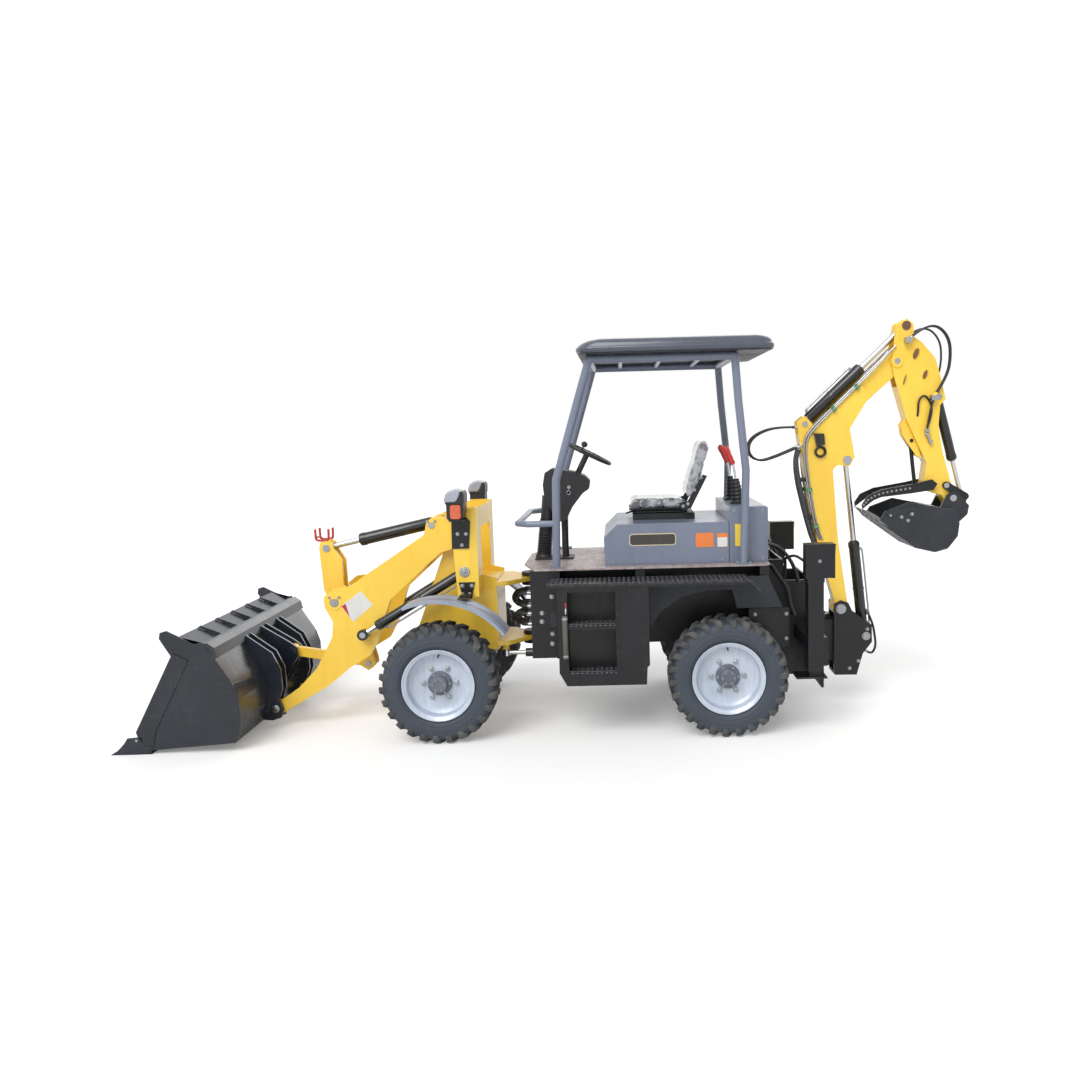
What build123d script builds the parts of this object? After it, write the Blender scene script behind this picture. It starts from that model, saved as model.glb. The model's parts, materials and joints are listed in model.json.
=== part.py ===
"""Compact articulated backhoe loader with an open canopy, modelled in millimetres.

The frame has +X forward, +Y to the machine's left and +Z up. The origin lies on the
ground at the middle of the machine's bounding box. Side outlines give each point as
(distance forward of the front axle, height above the ground).
"""

from math import atan2, cos, degrees, hypot, radians, sin, sqrt, tan
import os

from build123d import *

os.makedirs("parts", exist_ok=True)

# Driving dimensions of the running gear
wheelbase = 1800.0
front_axle_x = 731.0
tyre_diameter = 750.0
tyre_width = 264.0
track = 1268.0
rim_diameter = 412.0
rim_flange_diameter = 456.0
lug_count = 12
lug_height = 24.0
lug_length = 78.0
axle_tube_diameter = 120.0
hub_diameter = 150.0
spindle_diameter = 90.0

# Clearances
pin_clearance = 0.4
rod_clearance = 0.5
seat_gap = 0.2
eye_gap = 4.0
pin_proud = 1.5
barrel_end = 12.0
eye_wall = 16.0
running_gap = 6.0

# Body
articulation_forward = -530.0
articulation_pin_radius = 30.0
body_half_width = 520.0
deck_height = 1040.0
deck_thickness = 12.0
box_half_width = 430.0
hood_height = 1315.0
console_height = 1409.0
step_box_half_width = 735.0
roof_half_width = 630.0
roof_top = 2475.0
roof_rim = 2390.0
post_diameter = 50.0
post_half_spacing = 503.0

# Loader
bucket_half_width = 820.0
bucket_plate = 12.0
arm_plate_inner = 262.0
arm_plate_thickness = 40.0
lift_cylinder_y = 345.0
lift_barrel_radius = 33.0
lift_rod_radius = 17.0
lift_eye_width = 50.0
tilt_barrel_radius = 42.0
tilt_rod_radius = 20.0
mast_inner_y = 228.0
mast_outer_y = 400.0
mast_plate = 16.0

# Backhoe
boom_half_width = 60.0
dipper_half_width = 62.0
hoe_bucket_half_width = 200.0
hoe_plate = 10.0
stabilizer_y = 690.0
stabilizer_column = 96.0
leg_wall = 8.0

rear_axle_x = front_axle_x - wheelbase
wheel_y = track / 2
tyre_radius = tyre_diameter / 2
lug_half_reach = 45.0
axle_height = sqrt(tyre_radius**2 - lug_half_reach**2)
frame_floor = 505.0


def at(forward, height):
    """Side-view point from its distance ahead of the front axle and its height."""
    return (front_axle_x + forward, height)


def side(y):
    """Sketch plane at the given distance left of the middle, facing the right side."""
    return Plane.XZ.offset(-y)


def slab(points, left_y, thickness, corner=0.0, mode=Mode.ADD):
    """Plate whose outline is seen from the side, from left_y towards the right."""
    with BuildSketch(side(left_y)) as outline:
        with BuildLine():
            Polyline(*[at(*point) for point in points], close=True)
        make_face()
        if corner:
            fillet(outline.vertices(), corner)
    extrude(outline.sketch, amount=thickness, mode=mode)


def disc(point, radius, left_y, thickness, mode=Mode.ADD):
    """Round disc or pin across the machine, from left_y towards the right."""
    with BuildSketch(side(left_y)) as round_outline:
        with Locations(at(*point)):
            Circle(radius)
    extrude(round_outline.sketch, amount=thickness, mode=mode)


def block(low, high, mode=Mode.ADD):
    """Box between two corners, each (forward of the front axle, left, height)."""
    middle = [(a + b) / 2 for a, b in zip(low, high)]
    size = [b - a for a, b in zip(low, high)]
    with Locations((front_axle_x + middle[0], middle[1], middle[2])):
        Box(*size, mode=mode)


def bar(start, end, radius, mode=Mode.ADD):
    """Round bar between two points, each (forward of the front axle, left, height)."""
    a = Vector(front_axle_x + start[0], start[1], start[2])
    b = Vector(front_axle_x + end[0], end[1], end[2])
    with BuildSketch(Plane(origin=a, z_dir=b - a)) as section:
        Circle(radius)
    extrude(section.sketch, amount=(b - a).length, mode=mode)


def along(start, end, distance):
    """Side-view point on the line from start to end, at a distance from start."""
    length = hypot(end[0] - start[0], end[1] - start[1])
    share = distance / length
    return (start[0] + (end[0] - start[0]) * share, start[1] + (end[1] - start[1]) * share)


def barrel(base, eye, y, start, length, radius, rod_radius, eye_width, pin_radius):
    """Cylinder barrel whose tube runs from start to length, with a neck and a base eye."""
    head = along(base, eye, start)
    floor = along(base, eye, start + barrel_end)
    mouth = along(base, eye, length)
    heading = degrees(atan2(eye[1] - base[1], eye[0] - base[0]))
    disc(base, pin_radius + eye_wall, y + eye_width / 2, eye_width)
    with BuildSketch(side(y + eye_width / 2)) as neck:
        with Locations(at(*along(base, eye, start / 2 + 2))):
            Rectangle(start + 4, 2 * (pin_radius + eye_wall / 2), rotation=heading)
    extrude(neck.sketch, amount=eye_width)
    bar((head[0], y, head[1]), (mouth[0], y, mouth[1]), radius)
    bar((floor[0], y, floor[1]), (mouth[0], y, mouth[1]), rod_radius + rod_clearance,
        mode=Mode.SUBTRACT)
    disc(base, pin_radius + pin_clearance, y + eye_width / 2, eye_width, mode=Mode.SUBTRACT)


def rod(base, eye, y, inner_end, radius, eye_radius, eye_width, pin_radius):
    """Cylinder rod from inner_end, measured from the base pin, to its eye and short pin."""
    start = along(base, eye, inner_end)
    end = along(eye, base, eye_radius * 0.6)
    bar((start[0], y, start[1]), (end[0], y, end[1]), radius)
    disc(eye, eye_radius, y + eye_width / 2, eye_width)
    disc(eye, pin_radius, y + eye_width / 2 + pin_proud, eye_width + 2 * pin_proud)


def hose(route, radius):
    """Tube along a route whose corners are rounded by tangent arcs; prints its bends and length."""
    points = [Vector(front_axle_x + x, y, z) for x, y, z in route]
    bends = []
    with BuildLine() as path:
        start = points[0]
        for before, corner, after in zip(points, points[1:], points[2:]):
            back, ahead = before - corner, after - corner
            reach = 0.45 * min(back.length, ahead.length)
            back, ahead = back.normalized(), ahead.normalized()
            half_turn = (180 - back.get_angle(ahead)) / 2
            bend = reach / tan(radians(half_turn))
            inward = (back + ahead).normalized() * (hypot(reach, bend) - bend)
            Line(start, corner + back * reach)
            ThreePointArc(corner + back * reach, corner + inward, corner + ahead * reach)
            start = corner + ahead * reach
            bends.append(bend)
        Line(start, points[-1])
    with BuildSketch(Plane(origin=points[0], z_dir=points[1] - points[0])) as section:
        Circle(radius)
    sweep(sections=section.sketch, path=path.wire())
    print(f"hose {path.wire().length:.0f} mm long, bends {min(bends):.0f} mm and more")


def gland(point, toward, length, radius):
    """Round fitting that ends at a point and lies against the direction of the hose."""
    a, b = Vector(*point), Vector(*toward)
    tail = a - (b - a).normalized() * length
    bar(tuple(tail), point, radius)


def finish(sub_part, name):
    """Label a finished sub-part and write it."""
    sub_part.part.label = name
    export_step(sub_part.part, f"parts/{name}.step")


# Pins of the loader, each (forward, height)
arm_pivot = (-130.0, 1263.0)
lift_base = (-140.0, 1030.0)
lift_eye = (555.0, 622.0)
crank_pivot = (745.0, 832.0)
crank_top = (852.0, 1165.0)
crank_low = (612.0, 356.0)
tilt_base = (80.0, 1328.0)
link_front = (1141.0, 452.0)
bucket_pin = (1172.0, 130.0)

# Pins of the backhoe
swing_forward = -2520.0
boom_pin = (-2640.0, 664.0)
boom_base = (-2812.0, 472.0)
boom_eye = (-2684.0, 1672.0)
dipper_pin = (-3011.0, 2315.0)
dipper_base = (-2402.0, 1919.0)
dipper_eye = (-3068.0, 2545.0)
curl_base = (-3295.0, 2075.0)
curl_eye = (-3470.0, 1410.0)
rocker_pin = (-3344.0, 1486.0)
hoe_pin = (-3383.0, 1402.0)
hoe_link_pin = (-3452.0, 1310.0)

# Swing cylinder under the tail of the rear frame, lying lengthwise: (forward, left)
swing_base = (-2030.0, -135.0)
swing_eye = (swing_forward, -135.0)
swing_height = 440.0
swing_cylinder_pin = 16.0
swing_barrel_radius = 30.0
swing_rod_radius = 16.0
swing_eye_width = 36.0

# Articulation: two front lugs, each between two rear lugs, and a steering cylinder
front_lugs = ((905.0, 935.0), (500.0, 530.0))
front_lug_outline = [(-310, 244), (-310, -244), (-390, -225), (articulation_forward, -60),
                     (articulation_forward, 60), (-390, 225)]
lug_gap = 4.0
rear_lug_thickness = 25.0
steer_height = 440.0
steer_base = (-725.0, 200.0)
steer_eye = (-360.0, 180.0)
steer_pin_radius = 14.0
steer_barrel_radius = 28.0
steer_rod_radius = 14.0
steer_eye_width = 40.0

# Front frame: masts, side plates, axle saddle and the two articulation lugs
mast_outline = [(-60, 1420), (-75, 1442), (-229, 1442), (-229, 985), (-321, 962),
                (-321, 475), (-200, 475), (-180, frame_floor), (200, frame_floor),
                (215, 640), (190, 700), (20, 1150)]
outer_mast_outline = [(-60, 1420), (-75, 1442), (-229, 1442), (-229, 880), (-90, 850)]
with BuildPart() as front_frame:
    for sign in (1, -1):
        inner_left = mast_inner_y if sign > 0 else -mast_inner_y + mast_plate
        outer_left = mast_outer_y if sign > 0 else -mast_outer_y + mast_plate
        slab(mast_outline, inner_left, mast_plate)
        slab(outer_mast_outline, outer_left, mast_plate)
        low_y, high_y = sorted((sign * (mast_inner_y - mast_plate), sign * mast_outer_y))
        block((-229, low_y, 880), (-215, high_y, 1442))
        block((-229, low_y, 864), (-92, high_y, 880))
        pin_left = mast_outer_y + 4 if sign > 0 else -(mast_inner_y - mast_plate - 4)
        pin_width = mast_outer_y - mast_inner_y + mast_plate + 8
        disc(arm_pivot, 28, pin_left, pin_width)
        disc(lift_base, 20, pin_left, pin_width)
    block((-229, -mast_inner_y, 1300), (-215, mast_inner_y, 1435))
    block((-321, -mast_inner_y, 930), (-60, mast_inner_y, 946))
    block((-321, -mast_inner_y, 475), (-305, mast_inner_y, 946))
    block((184, -mast_inner_y, frame_floor), (200, mast_inner_y, 640))
    block((-180, -mast_inner_y, frame_floor), (200, mast_inner_y, frame_floor + 16))
    for low, high in front_lugs:
        with BuildSketch(Plane.XY.offset(low)):
            with BuildLine():
                Polyline(*[(front_axle_x + x, y) for x, y in front_lug_outline], close=True)
            make_face()
            with Locations((front_axle_x + articulation_forward, 0)):
                Circle(62)
        extrude(amount=high - low)
        with Locations((front_axle_x + articulation_forward, 0, (low + high) / 2)):
            Cylinder(articulation_pin_radius + pin_clearance, high - low, mode=Mode.SUBTRACT)
    boss_low = steer_height + steer_eye_width / 2 + eye_gap
    boss_height = front_lugs[1][0] - boss_low
    with Locations((front_axle_x + steer_eye[0], steer_eye[1], boss_low + boss_height / 2)):
        Cylinder(steer_pin_radius + 8, boss_height)
finish(front_frame, "front_frame")

# Axles: a tube with a bulged drive housing, a saddle pad and a spindle at each end
for axle_name, axle_x in (("front_axle", front_axle_x), ("rear_axle", rear_axle_x)):
    flange_y = wheel_y - 40
    with BuildPart() as axle:
        with BuildSketch(Plane.XZ.offset(-flange_y)):
            with Locations((axle_x, axle_height)):
                Circle(axle_tube_diameter / 2)
        extrude(amount=2 * flange_y)
        with Locations((axle_x, 0, axle_height)):
            Sphere(125)
        for sign in (1, -1):
            with Locations(Location((axle_x, sign * (flange_y - 10), axle_height), (90, 0, 0))):
                Cylinder(hub_diameter / 2, 20)
            with Locations(Location((axle_x, sign * (flange_y + 45), axle_height), (90, 0, 0))):
                Cylinder(spindle_diameter / 2, 90)
            with Locations((axle_x, sign * 170, (axle_height + frame_floor) / 2)):
                Box(110, 60, frame_floor - axle_height)
    finish(axle, axle_name)

# Wheels: tyre with chevron lugs, and a dished rim with its hub and six nuts
tread_radius = tyre_radius - lug_height
rim_radius = rim_diameter / 2
flange_radius = rim_flange_diameter / 2
bead_half_width = 105.0
tyre_profile = [(-bead_half_width, rim_radius + seat_gap), (-bead_half_width, flange_radius + 3),
                (-tyre_width / 2, 285), (-tyre_width / 2 + 8, 335), (-110, tread_radius),
                (110, tread_radius), (tyre_width / 2 - 8, 335), (tyre_width / 2, 285),
                (bead_half_width, flange_radius + 3), (bead_half_width, rim_radius + seat_gap)]
rim_profile = [(-118, flange_radius - 4), (-118, flange_radius), (-bead_half_width - 0.5, flange_radius),
               (-bead_half_width - 0.5, rim_radius), (bead_half_width + 0.5, rim_radius),
               (bead_half_width + 0.5, flange_radius), (118, flange_radius), (118, flange_radius - 4),
               (108, rim_radius - 8), (42, rim_radius - 8), (34, 150), (34, 70), (24, 70),
               (24, 155), (30, rim_radius - 10), (-108, rim_radius - 8)]
hub_depth = 62.0
wheels = (("front_left", front_axle_x, 1), ("front_right", front_axle_x, -1),
          ("rear_left", rear_axle_x, 1), ("rear_right", rear_axle_x, -1))
for place, wheel_x, sign in wheels:
    centre = Vector(wheel_x, sign * wheel_y, axle_height)
    across = Axis(centre, (0, 1, 0))
    profile_plane = Plane(origin=centre, x_dir=(0, sign, 0), z_dir=(sign, 0, 0))
    hub_plane = Plane(origin=centre, x_dir=(0, 0, -1), z_dir=(0, sign, 0))
    with BuildPart() as tyre:
        with BuildSketch(profile_plane):
            with BuildLine():
                Polyline(*tyre_profile, close=True)
            make_face()
        revolve(axis=across)
        with BuildPart(hub_plane, mode=Mode.PRIVATE) as lugs:
            for row, lean, turn in ((1, 24, 0), (-1, -24, 180 / lug_count)):
                with PolarLocations(axle_height - (lug_height + 10) / 2, lug_count, turn):
                    with Locations((0, 0, row * 58)):
                        Box(lug_height + 10, 42, 112, rotation=(sign * lean, 0, 0))
        add(lugs.part)
    finish(tyre, f"tyre_{place}")
    with BuildPart() as rim:
        with BuildSketch(profile_plane):
            with BuildLine():
                Polyline(*rim_profile, close=True)
            make_face()
        revolve(axis=across)
        with BuildSketch(hub_plane.offset(-38)):
            Circle(hub_diameter / 2)
        extrude(amount=38 + hub_depth)
        with BuildSketch(hub_plane.offset(hub_depth)):
            Circle(50)
        extrude(amount=42)
        with BuildSketch(hub_plane.offset(34)):
            with PolarLocations(102.5, 6):
                RegularPolygon(15, 6)
        extrude(amount=16)
        with BuildSketch(hub_plane.offset(-38)):
            Circle(spindle_diameter / 2 + pin_clearance)
        extrude(amount=38 + 55, mode=Mode.SUBTRACT)
    finish(rim, f"rim_{place}")

# Front mudguards: a curved strip above each tyre on a bracket from the mast
fender_radius = 524.0
fender_thickness = 10.0
fender_start = 68.0
fender_sweep = 76.0
fender_inner = 528.0
fender_outer = 758.0
with BuildPart() as front_fenders:
    for sign in (1, -1):
        with BuildSketch(side(max(sign * fender_inner, sign * fender_outer))) as strip:
            with BuildLine():
                centre = at(0, axle_height)
                outer_radius = fender_radius + fender_thickness
                CenterArc(centre, fender_radius, fender_start, fender_sweep)
                CenterArc(centre, outer_radius, fender_start, fender_sweep)
                for angle in (fender_start, fender_start + fender_sweep):
                    inner = (centre[0] + fender_radius * cos(radians(angle)),
                             centre[1] + fender_radius * sin(radians(angle)))
                    outer = (centre[0] + outer_radius * cos(radians(angle)),
                             centre[1] + outer_radius * sin(radians(angle)))
                    Line(inner, outer)
            make_face()
        extrude(amount=fender_outer - fender_inner)
        low_y, high_y = sorted((sign * mast_outer_y, sign * 640))
        block((-190, low_y, 885), (-120, high_y, 893))
        low_y, high_y = sorted((sign * mast_outer_y, sign * (mast_outer_y + 10)))
        block((-190, low_y, 880), (-120, high_y, 960))
finish(front_fenders, "front_fenders")

# Lamps on the masts, each a housing on a bracket plate
with BuildPart() as headlamps:
    for sign in (1, -1):
        low_y, high_y = sorted((sign * mast_outer_y, sign * (mast_outer_y + 8)))
        block((-165, low_y, 1185), (-60, high_y, 1400))
        disc(arm_pivot, 34, high_y, 8, mode=Mode.SUBTRACT)
        low_y, high_y = sorted((sign * mast_outer_y, sign * (mast_outer_y + 150)))
        block((-165, low_y, 1384), (-75, high_y, 1400))
        slab([(-60, 1485), (-72, 1376), (-165, 1376), (-178, 1485), (-178, 1530), (-150, 1572),
              (-95, 1573), (-62, 1540)], sign * 485 + 75, 150)
finish(headlamps, "headlamps")

# Loader arm: two bent plates, cross tubes, bosses and the pins that it carries
arm_outline = [(-195, 1215), (-200, 1300), (-140, 1345), (-28, 1350), (-8, 1376), (72, 1380),
               (112, 1350), (131, 1266), (655, 930), (745, 925), (815, 870), (812, 800),
               (763, 703), (775, 600), (821, 515), (889, 394), (1011, 267), (1116, 196),
               (1172, 173), (1202, 160), (1214, 130), (1202, 99), (1172, 88), (1130, 92), (1019, 157),
               (810, 276), (670, 389), (530, 470), (472, 574), (376, 840), (32, 1145), (-100, 1185)]
arm_outer = arm_plate_inner + arm_plate_thickness
mast_gap = 4.0
with BuildPart() as loader_arm:
    for sign in (1, -1):
        slab(arm_outline, arm_outer if sign > 0 else -arm_plate_inner, arm_plate_thickness, 14)
        hub_outer = mast_outer_y - mast_plate - mast_gap
        hub_inner = mast_inner_y + mast_gap
        disc(arm_pivot, 62, hub_outer if sign > 0 else -hub_inner, hub_outer - hub_inner)
        disc(arm_pivot, 28 + pin_clearance, hub_outer if sign > 0 else -hub_inner,
             hub_outer - hub_inner, mode=Mode.SUBTRACT)
        boss_outer = lift_cylinder_y - lift_eye_width / 2 - eye_gap
        disc(lift_eye, 36, boss_outer if sign > 0 else -arm_outer, boss_outer - arm_outer)
        disc(bucket_pin, 24, arm_outer + 34 if sign > 0 else -arm_plate_inner + 34,
             arm_plate_thickness + 68)
    for point, radius in (((250, 1075), 55), ((880, 272), 35)):
        disc(point, radius, arm_plate_inner, 2 * arm_plate_inner)
    disc(crank_pivot, 28, arm_outer + 5, 2 * arm_outer + 10)
    disc(tilt_base, 22, arm_outer + 5, 2 * arm_outer + 10)
    for sign in (1, -1):
        disc(tilt_base, 45, 52 if sign > 0 else -36, 16)
finish(loader_arm, "loader_arm")

# Lift cylinders, a pair that moves as one
lift_barrel_length = 690.0
with BuildPart() as lift_barrels:
    for sign in (1, -1):
        barrel(lift_base, lift_eye, sign * lift_cylinder_y, 40, lift_barrel_length,
               lift_barrel_radius, lift_rod_radius, lift_eye_width, 20)
finish(lift_barrels, "lift_cylinder_barrels")
with BuildPart() as lift_rods:
    for sign in (1, -1):
        rod(lift_base, lift_eye, sign * lift_cylinder_y, 330, lift_rod_radius, 36,
            lift_eye_width, 20)
finish(lift_rods, "lift_cylinder_rods")

# Bellcrank: two plates on a boss around the pivot, holding the rod eye and the link
crank_outline = [(802, 1165), (812, 1205), (852, 1218), (892, 1205), (902, 1165), (886, 880),
                 (850, 790), (662, 340), (612, 308), (562, 345), (566, 385), (682, 830),
                 (748, 905), (750, 1080)]
crank_inner = 32.0
crank_plate = 24.0
with BuildPart() as bellcrank:
    for left in (crank_inner + crank_plate, -crank_inner):
        slab(crank_outline, left, crank_plate, 12)
    disc(crank_pivot, 58, crank_inner + crank_plate, 2 * (crank_inner + crank_plate))
    disc(crank_pivot, 28 + pin_clearance, crank_inner + crank_plate,
         2 * (crank_inner + crank_plate), mode=Mode.SUBTRACT)
    for left in (crank_inner + crank_plate + 6, -crank_inner - crank_plate):
        disc(crank_top, 26, left, 6)
    disc(crank_low, 20, crank_inner + crank_plate + 5, 2 * (crank_inner + crank_plate + 5))
finish(bellcrank, "bellcrank")

# Tilt cylinder between the arm and the top of the bellcrank
tilt_barrel_length = 556.0
with BuildPart() as tilt_barrel:
    barrel(tilt_base, crank_top, 0, 54, tilt_barrel_length, tilt_barrel_radius, tilt_rod_radius,
           60, 22)
finish(tilt_barrel, "tilt_cylinder_barrel")
with BuildPart() as tilt_rod:
    rod(tilt_base, crank_top, 0, 250, tilt_rod_radius, 40, 56, 20)
finish(tilt_rod, "tilt_cylinder_rod")

# Link from the bellcrank to the bucket
with BuildPart() as bucket_link:
    heading = degrees(atan2(link_front[1] - crank_low[1], link_front[0] - crank_low[0]))
    for end in (crank_low, link_front):
        disc(end, 42, 28, 56)
    middle = ((crank_low[0] + link_front[0]) / 2, (crank_low[1] + link_front[1]) / 2)
    length = hypot(link_front[0] - crank_low[0], link_front[1] - crank_low[1])
    with BuildSketch(side(20)):
        with Locations(at(*middle)):
            Rectangle(length, 64, rotation=heading)
    extrude(amount=40)
    disc(crank_low, 20 + pin_clearance, 28, 56, mode=Mode.SUBTRACT)
    disc(link_front, 20, 28 + pin_proud, 56 + 2 * pin_proud)
finish(bucket_link, "bucket_link")

# Loader bucket: bent shell, side plates, cutting edge, spill guard, gussets and brackets
bucket_side_outline = [(1868, 141), (1612, 615), (1675, 725), (1668, 762), (1629, 773), (1462, 686),
                       (1415, 699), (1377, 645), (1336, 563), (1240, 420), (1213, 334),
                       (1213, 200), (1225, 140), (1256, 59), (1754, 34), (1830, 22)]
bucket_shell_path = [(1990, 10), (1256, 59), (1213, 180), (1213, 334), (1250, 440), (1377, 645),
                     (1562, 733)]
with BuildPart() as loader_bucket:
    with BuildSketch(side(bucket_half_width)):
        with BuildLine():
            Polyline(*[at(*point) for point in bucket_shell_path])
            offset(amount=bucket_plate, side=Side.RIGHT)
        make_face()
    extrude(amount=2 * bucket_half_width)
    for left in (bucket_half_width, -bucket_half_width + bucket_plate):
        slab(bucket_side_outline, left, bucket_plate)
    slab([(2037, 0), (1780, 0), (1780, 34), (1860, 34)], bucket_half_width, 2 * bucket_half_width)
    slab([(1382, 640), (1352, 592), (1330, 600), (1345, 660), (1385, 690), (1415, 690),
          (1425, 662)], bucket_half_width - 6, 2 * bucket_half_width - 12)
    for ear_y in (334, 254, -234, -314):
        slab([(1300, 62), (1200, 50), (1140, 68), (1120, 125), (1140, 180), (1213, 262),
              (1220, 262), (1220, 185), (1262, 66)], ear_y, 20)
        disc(bucket_pin, 24 + pin_clearance, ear_y, 20, mode=Mode.SUBTRACT)
    for rib_y in (54, -34):
        slab([(1219, 200), (1150, 330), (1095, 420), (1100, 480), (1150, 520), (1340, 640),
              (1372, 634), (1256, 438), (1219, 333)], rib_y, 20)
        disc(link_front, 28, 62 if rib_y > 0 else -54, 8)
    for gusset_y in (-520, -260, 0, 260, 520):
        slab([(1385, 680), (1550, 745), (1500, 700)], gusset_y + 6, 12)
finish(loader_bucket, "loader_bucket")

# Steering cylinder under the articulation joint
with BuildPart() as steer_barrel:
    base = Vector(front_axle_x + steer_base[0], steer_base[1], steer_height)
    eye = Vector(front_axle_x + steer_eye[0], steer_eye[1], steer_height)
    reach = (eye - base).normalized()
    with Locations(base):
        Cylinder(steer_barrel_radius + 2, 44)
    with BuildSketch(Plane(origin=base + reach * 15, z_dir=reach)):
        Circle(steer_barrel_radius)
    extrude(amount=215)
    with BuildSketch(Plane(origin=base + reach * 42, z_dir=reach)):
        Circle(steer_rod_radius + rod_clearance)
    extrude(amount=200, mode=Mode.SUBTRACT)
    with Locations(base):
        Cylinder(steer_pin_radius + pin_clearance, 60, mode=Mode.SUBTRACT)
finish(steer_barrel, "steering_cylinder_barrel")
with BuildPart() as steer_rod:
    with BuildSketch(Plane(origin=base + reach * 135, z_dir=reach)):
        Circle(steer_rod_radius)
    extrude(amount=(eye - base).length - 135 - 18)
    with Locations(eye):
        Cylinder(26, steer_eye_width)
        Cylinder(steer_pin_radius, steer_eye_width + 2 * pin_proud)
finish(steer_rod, "steering_cylinder_rod")

# Rear frame: front wall with the rear articulation lugs, side plates, belly and cheeks
frame_side_y = 256.0
frame_plate = 16.0
frame_rear = -2219.0
with BuildPart() as rear_frame:
    block((-704, -500, 475), (-688, 500, deck_height))
    for sign in (1, -1):
        low_y, high_y = sorted((sign * (frame_side_y - frame_plate), sign * frame_side_y))
        block((frame_rear, low_y, frame_floor), (-704, high_y, deck_height))
        low_y, high_y = sorted((sign * 500, sign * 514))
        block((-760, low_y, 475), (-571, high_y, deck_height))
        low_y, high_y = sorted((sign * frame_side_y, sign * 514))
        block((-1300, low_y, 940), (-1240, high_y, deck_height))
    block((frame_rear, -frame_side_y, frame_floor), (-704, frame_side_y, frame_floor + 16))
    block((frame_rear, -frame_side_y, frame_floor), (frame_rear + 16, frame_side_y, deck_height))
    block((-2090, -500, 940), (-2030, 500, deck_height))
    for sign in (1, -1):
        low_y, high_y = sorted((sign * 470, sign * 486))
        block((frame_rear, low_y, frame_floor), (-1960, high_y, 760))
        block((-2090, low_y, 750), (-2030, high_y, 960))
    for low, high in front_lugs:
        for bottom in (high + lug_gap, low - lug_gap - rear_lug_thickness):
            lowest = bottom + rear_lug_thickness < 500
            outline = [(-690, 110), (articulation_forward, 62), (articulation_forward, -62), (-690, -110)]
            outline += [(-770, -110), (-770, 245), (-690, 245)] if lowest else []
            with BuildSketch(Plane.XY.offset(bottom)):
                with BuildLine():
                    Polyline(*[(front_axle_x + x, y) for x, y in outline], close=True)
                make_face()
                with Locations((front_axle_x + articulation_forward, 0)):
                    Circle(64)
            extrude(amount=rear_lug_thickness)
        middle = (low + high) / 2
        with Locations((front_axle_x + articulation_forward, 0, middle)):
            Cylinder(articulation_pin_radius, high - low + 2 * lug_gap + 10)
    with Locations((front_axle_x + steer_base[0], steer_base[1], steer_height)):
        Cylinder(steer_pin_radius, 76)
    with Locations((front_axle_x + steer_base[0], steer_base[1], steer_height - 38)):
        Cylinder(steer_pin_radius + 8, 8)
    with Locations((front_axle_x + swing_base[0], swing_base[1], (frame_floor + swing_height) / 2 - 15)):
        Cylinder(swing_cylinder_pin, frame_floor - swing_height + 30)
    with Locations((front_axle_x + swing_base[0], swing_base[1], frame_floor - 10)):
        Cylinder(swing_cylinder_pin + 14, 20)
finish(rear_frame, "rear_frame")

# Hoses that loop between the steering and loader valves, on a manifold inside the articulation
manifold_front = -640.0
bank_radius = 10.0
with BuildPart() as hose_bank:
    block((-688, -150, 590), (manifold_front, 150, 860))
    for y, reach in ((-120, 150), (-72, 175), (-24, 190), (24, 190), (72, 175), (120, 150)):
        for top, bend in ((832, 45), (690, 36)):
            for height in (top, top - 2 * bend):
                bar((manifold_front, y, height), (manifold_front + 46, y, height), bank_radius + 5)
            with BuildLine() as loop:
                turn = manifold_front + reach
                Line((front_axle_x + manifold_front + 20, y, top), (front_axle_x + turn, y, top))
                ThreePointArc((front_axle_x + turn, y, top), (front_axle_x + turn + bend, y, top - bend),
                              (front_axle_x + turn, y, top - 2 * bend))
                Line((front_axle_x + turn, y, top - 2 * bend),
                     (front_axle_x + manifold_front + 20, y, top - 2 * bend))
            with BuildSketch(Plane(origin=(front_axle_x + manifold_front + 20, y, top),
                                   z_dir=(1, 0, 0))) as loop_section:
                Circle(bank_radius)
            sweep(sections=loop_section.sketch, path=loop.wire())
finish(hose_bank, "hose_bank")

# Engine as one plain block between the frame's side plates
engine_headroom = 75.0
with BuildPart() as engine:
    block((-1760, -220, frame_floor + 16), (-1120, 220, hood_height - engine_headroom))
finish(engine, "engine_block")

# Step boxes on both sides, each with a recessed step and two treads
step_box_front = -755.0
step_box_rear = -1315.0
step_box_top = 975.0
with BuildPart() as step_boxes:
    for sign in (1, -1):
        left = step_box_half_width if sign > 0 else -(body_half_width - 4)
        width = step_box_half_width - body_half_width + 4
        slab([(step_box_front, step_box_top), (step_box_front, 430), (-800, 346), (-1294, 346),
              (-1300, 455), (step_box_rear, 470), (step_box_rear, step_box_top)], left, width)
        low_y, high_y = sorted((sign * (step_box_half_width - 150), sign * (step_box_half_width + 1)))
        block((-1110, low_y, 725), (-815, high_y, 935), mode=Mode.SUBTRACT)
        block((-1110, low_y, 425), (-815, high_y, 700), mode=Mode.SUBTRACT)
        low_y, high_y = sorted((sign * 514, sign * (body_half_width - 4)))
        block((step_box_rear + 40, low_y, 800), (step_box_front - 10, high_y, 960))
finish(step_boxes, "step_boxes")

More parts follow.
